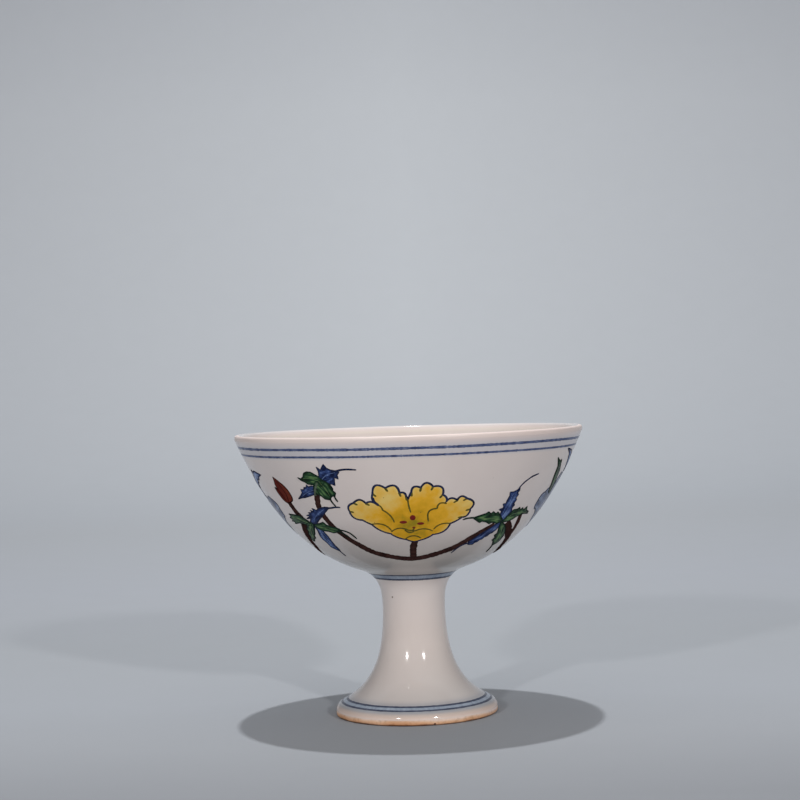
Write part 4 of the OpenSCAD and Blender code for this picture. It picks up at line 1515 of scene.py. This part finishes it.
# Paper tones by share of the sweep's length from front to top: painted light falloff, darker at the front
# and towards the top
SWEEP_LIGHT_FALLOFF = [
    (0.21, (0.285, 0.3, 0.325)),
    (0.232, (0.365, 0.385, 0.415)),
    (0.25, (0.395, 0.42, 0.455)),
    (0.285, (0.405, 0.43, 0.46)),
    (0.34, (0.43, 0.455, 0.495)),
    (0.435, (0.46, 0.485, 0.515)),
    (0.5, (0.5, 0.53, 0.565)),
    (0.68, (0.63, 0.66, 0.695)),
    (0.85, (0.565, 0.59, 0.64)),
]
# Paper tones across the sweep, from its left edge to its right one: painted shade, darker outside the
# picture and darkest to the left
SIDE_PAINTED_SHADE = [
    (0.28, (0.4, 0.41, 0.42)),
    (0.36, (0.8, 0.8, 0.81)),
    (0.375, (0.84, 0.84, 0.85)),
    (0.5, (1, 1, 1)),
    (0.625, (0.84, 0.84, 0.85)),
    (0.75, (0.64, 0.64, 0.65)),
]
# Lamps: the small one overhead, the pair in front and where all of them aim
LAMP_AIM = (0, 0, 0.04)
KEY_AT = (-0.031, 0.294, 2.2)
KEY_SIZE = 0.06
KEY_POWER = 23
LAMP_SIDE = 0.7
LAMP_BACK = 1.35
LAMP_HEIGHT = 0.61
LAMP_SIZE = 0.09
LAMP_POWERS = (7.2, 8.7)
LAMP_COLOUR = (1.0, 0.975, 0.95)
# The sky's strength at the horizon and overhead
SKY_LOW = 0.08
SKY_HIGH = 0.68
SKY_COLOUR = (0.98, 0.98, 1.0)


def sweep_path():
    """Floor, bend and wall of the paper sweep, from front to top, as (y, z)."""
    floor = SWEEP_BEND - SWEEP_FRONT
    path = [(SWEEP_FRONT + floor * i / FLOOR_STEPS, 0) for i in range(FLOOR_STEPS)]
    for i in range(BEND_STEPS + 1):
        a = math.radians(90 * i / BEND_STEPS)
        path.append((SWEEP_BEND + SWEEP_RADIUS * math.sin(a), SWEEP_RADIUS * (1 - math.cos(a))))
    for i in range(1, WALL_STEPS + 1):
        path.append((SWEEP_BEND + SWEEP_RADIUS, SWEEP_RADIUS + (SWEEP_TOP - SWEEP_RADIUS) * i / WALL_STEPS))
    return path


def make_sweep():
    """The paper under and behind the cup; its tone, a painted light falloff, runs with its length."""
    path = sweep_path()
    lengths = [0.0]
    for (ay, az), (by, bz) in zip(path, path[1:]):
        lengths.append(lengths[-1] + math.hypot(by - ay, bz - az))
    points = []
    shades = []
    for i, (y, z) in enumerate(path):
        for k in range(SWEEP_COLUMNS):
            points.append((SWEEP_HALF_WIDTH * (2 * k / (SWEEP_COLUMNS - 1) - 1), y, z))
            shades.append(lengths[i] / lengths[-1])
    faces = []
    for i in range(len(path) - 1):
        for k in range(SWEEP_COLUMNS - 1):
            a = i * SWEEP_COLUMNS + k
            b = a + SWEEP_COLUMNS
            faces.append((a, a + 1, b + 1, b))
    paper = mesh_object("paper_sweep", points, faces, shades)
    paper.data.materials.append(backdrop_material())


def add_lamp(name, at, size, power):
    """A round lamp that faces the cup."""
    light = bpy.data.lights.new(name, "AREA")
    light.shape = "DISK"
    light.size = size
    light.energy = power
    lamp = bpy.data.objects.new(name, light)
    lamp.location = at
    lamp.rotation_euler = (Vector(LAMP_AIM) - Vector(at)).to_track_quat("-Z", "Y").to_euler()
    bpy.context.scene.collection.objects.link(lamp)
    return lamp


def make_lights():
    """A small lamp overhead, a pair in front and the sky."""
    add_lamp("key", KEY_AT, KEY_SIZE, KEY_POWER)
    for side, power in zip((-1, 1), LAMP_POWERS):
        at = (side * LAMP_SIDE, -LAMP_BACK, LAMP_HEIGHT)
        lamp = add_lamp("front_lamp", at, LAMP_SIZE, power)
        lamp.data.color = LAMP_COLOUR
    make_sky()


def make_sky():
    """A sky that is bright overhead and dim at the horizon."""
    world = bpy.data.worlds.new("sky")
    world.use_nodes = True
    tree = world.node_tree
    sky = tree.nodes["Background"]
    sky.inputs["Color"].default_value = (*SKY_COLOUR, 1)
    high = calculate(tree, "MAXIMUM", axes(tree, coordinates(tree, "Generated"))["Z"], 0)
    steep = calculate(tree, "POWER", high, 2)
    span = calculate(tree, "MULTIPLY", steep, SKY_HIGH - SKY_LOW)
    tree.links.new(calculate(tree, "ADD", span, SKY_LOW), sky.inputs["Strength"])
    bpy.context.scene.world = world


def make_camera():
    """The photograph's viewpoint: yaw, pitch down and roll about the line of sight."""
    yaw = math.radians(CAMERA_YAW)
    pitch = math.radians(CAMERA_PITCH)
    roll = math.radians(CAMERA_ROLL)
    level = Vector((math.cos(yaw), -math.sin(yaw), 0))
    upright = Vector((math.sin(pitch) * math.sin(yaw), math.sin(pitch) * math.cos(yaw), math.cos(pitch)))
    ahead = Vector((math.sin(yaw) * math.cos(pitch), math.cos(yaw) * math.cos(pitch), -math.sin(pitch)))
    right = math.cos(roll) * level - math.sin(roll) * upright
    up = math.sin(roll) * level + math.cos(roll) * upright
    data = bpy.data.cameras.new("camera")
    data.lens = LENS
    data.clip_start = CLIP_START
    camera = bpy.data.objects.new("camera", data)
    turn = Matrix((right, up, -ahead)).transposed().to_4x4()
    camera.matrix_world = Matrix.Translation(CAMERA_AT) @ turn
    bpy.context.scene.collection.objects.link(camera)
    bpy.context.scene.camera = camera


make_camera()
make_cup()
make_sweep()
make_lights()
bpy.context.scene.view_settings.view_transform = "Standard"
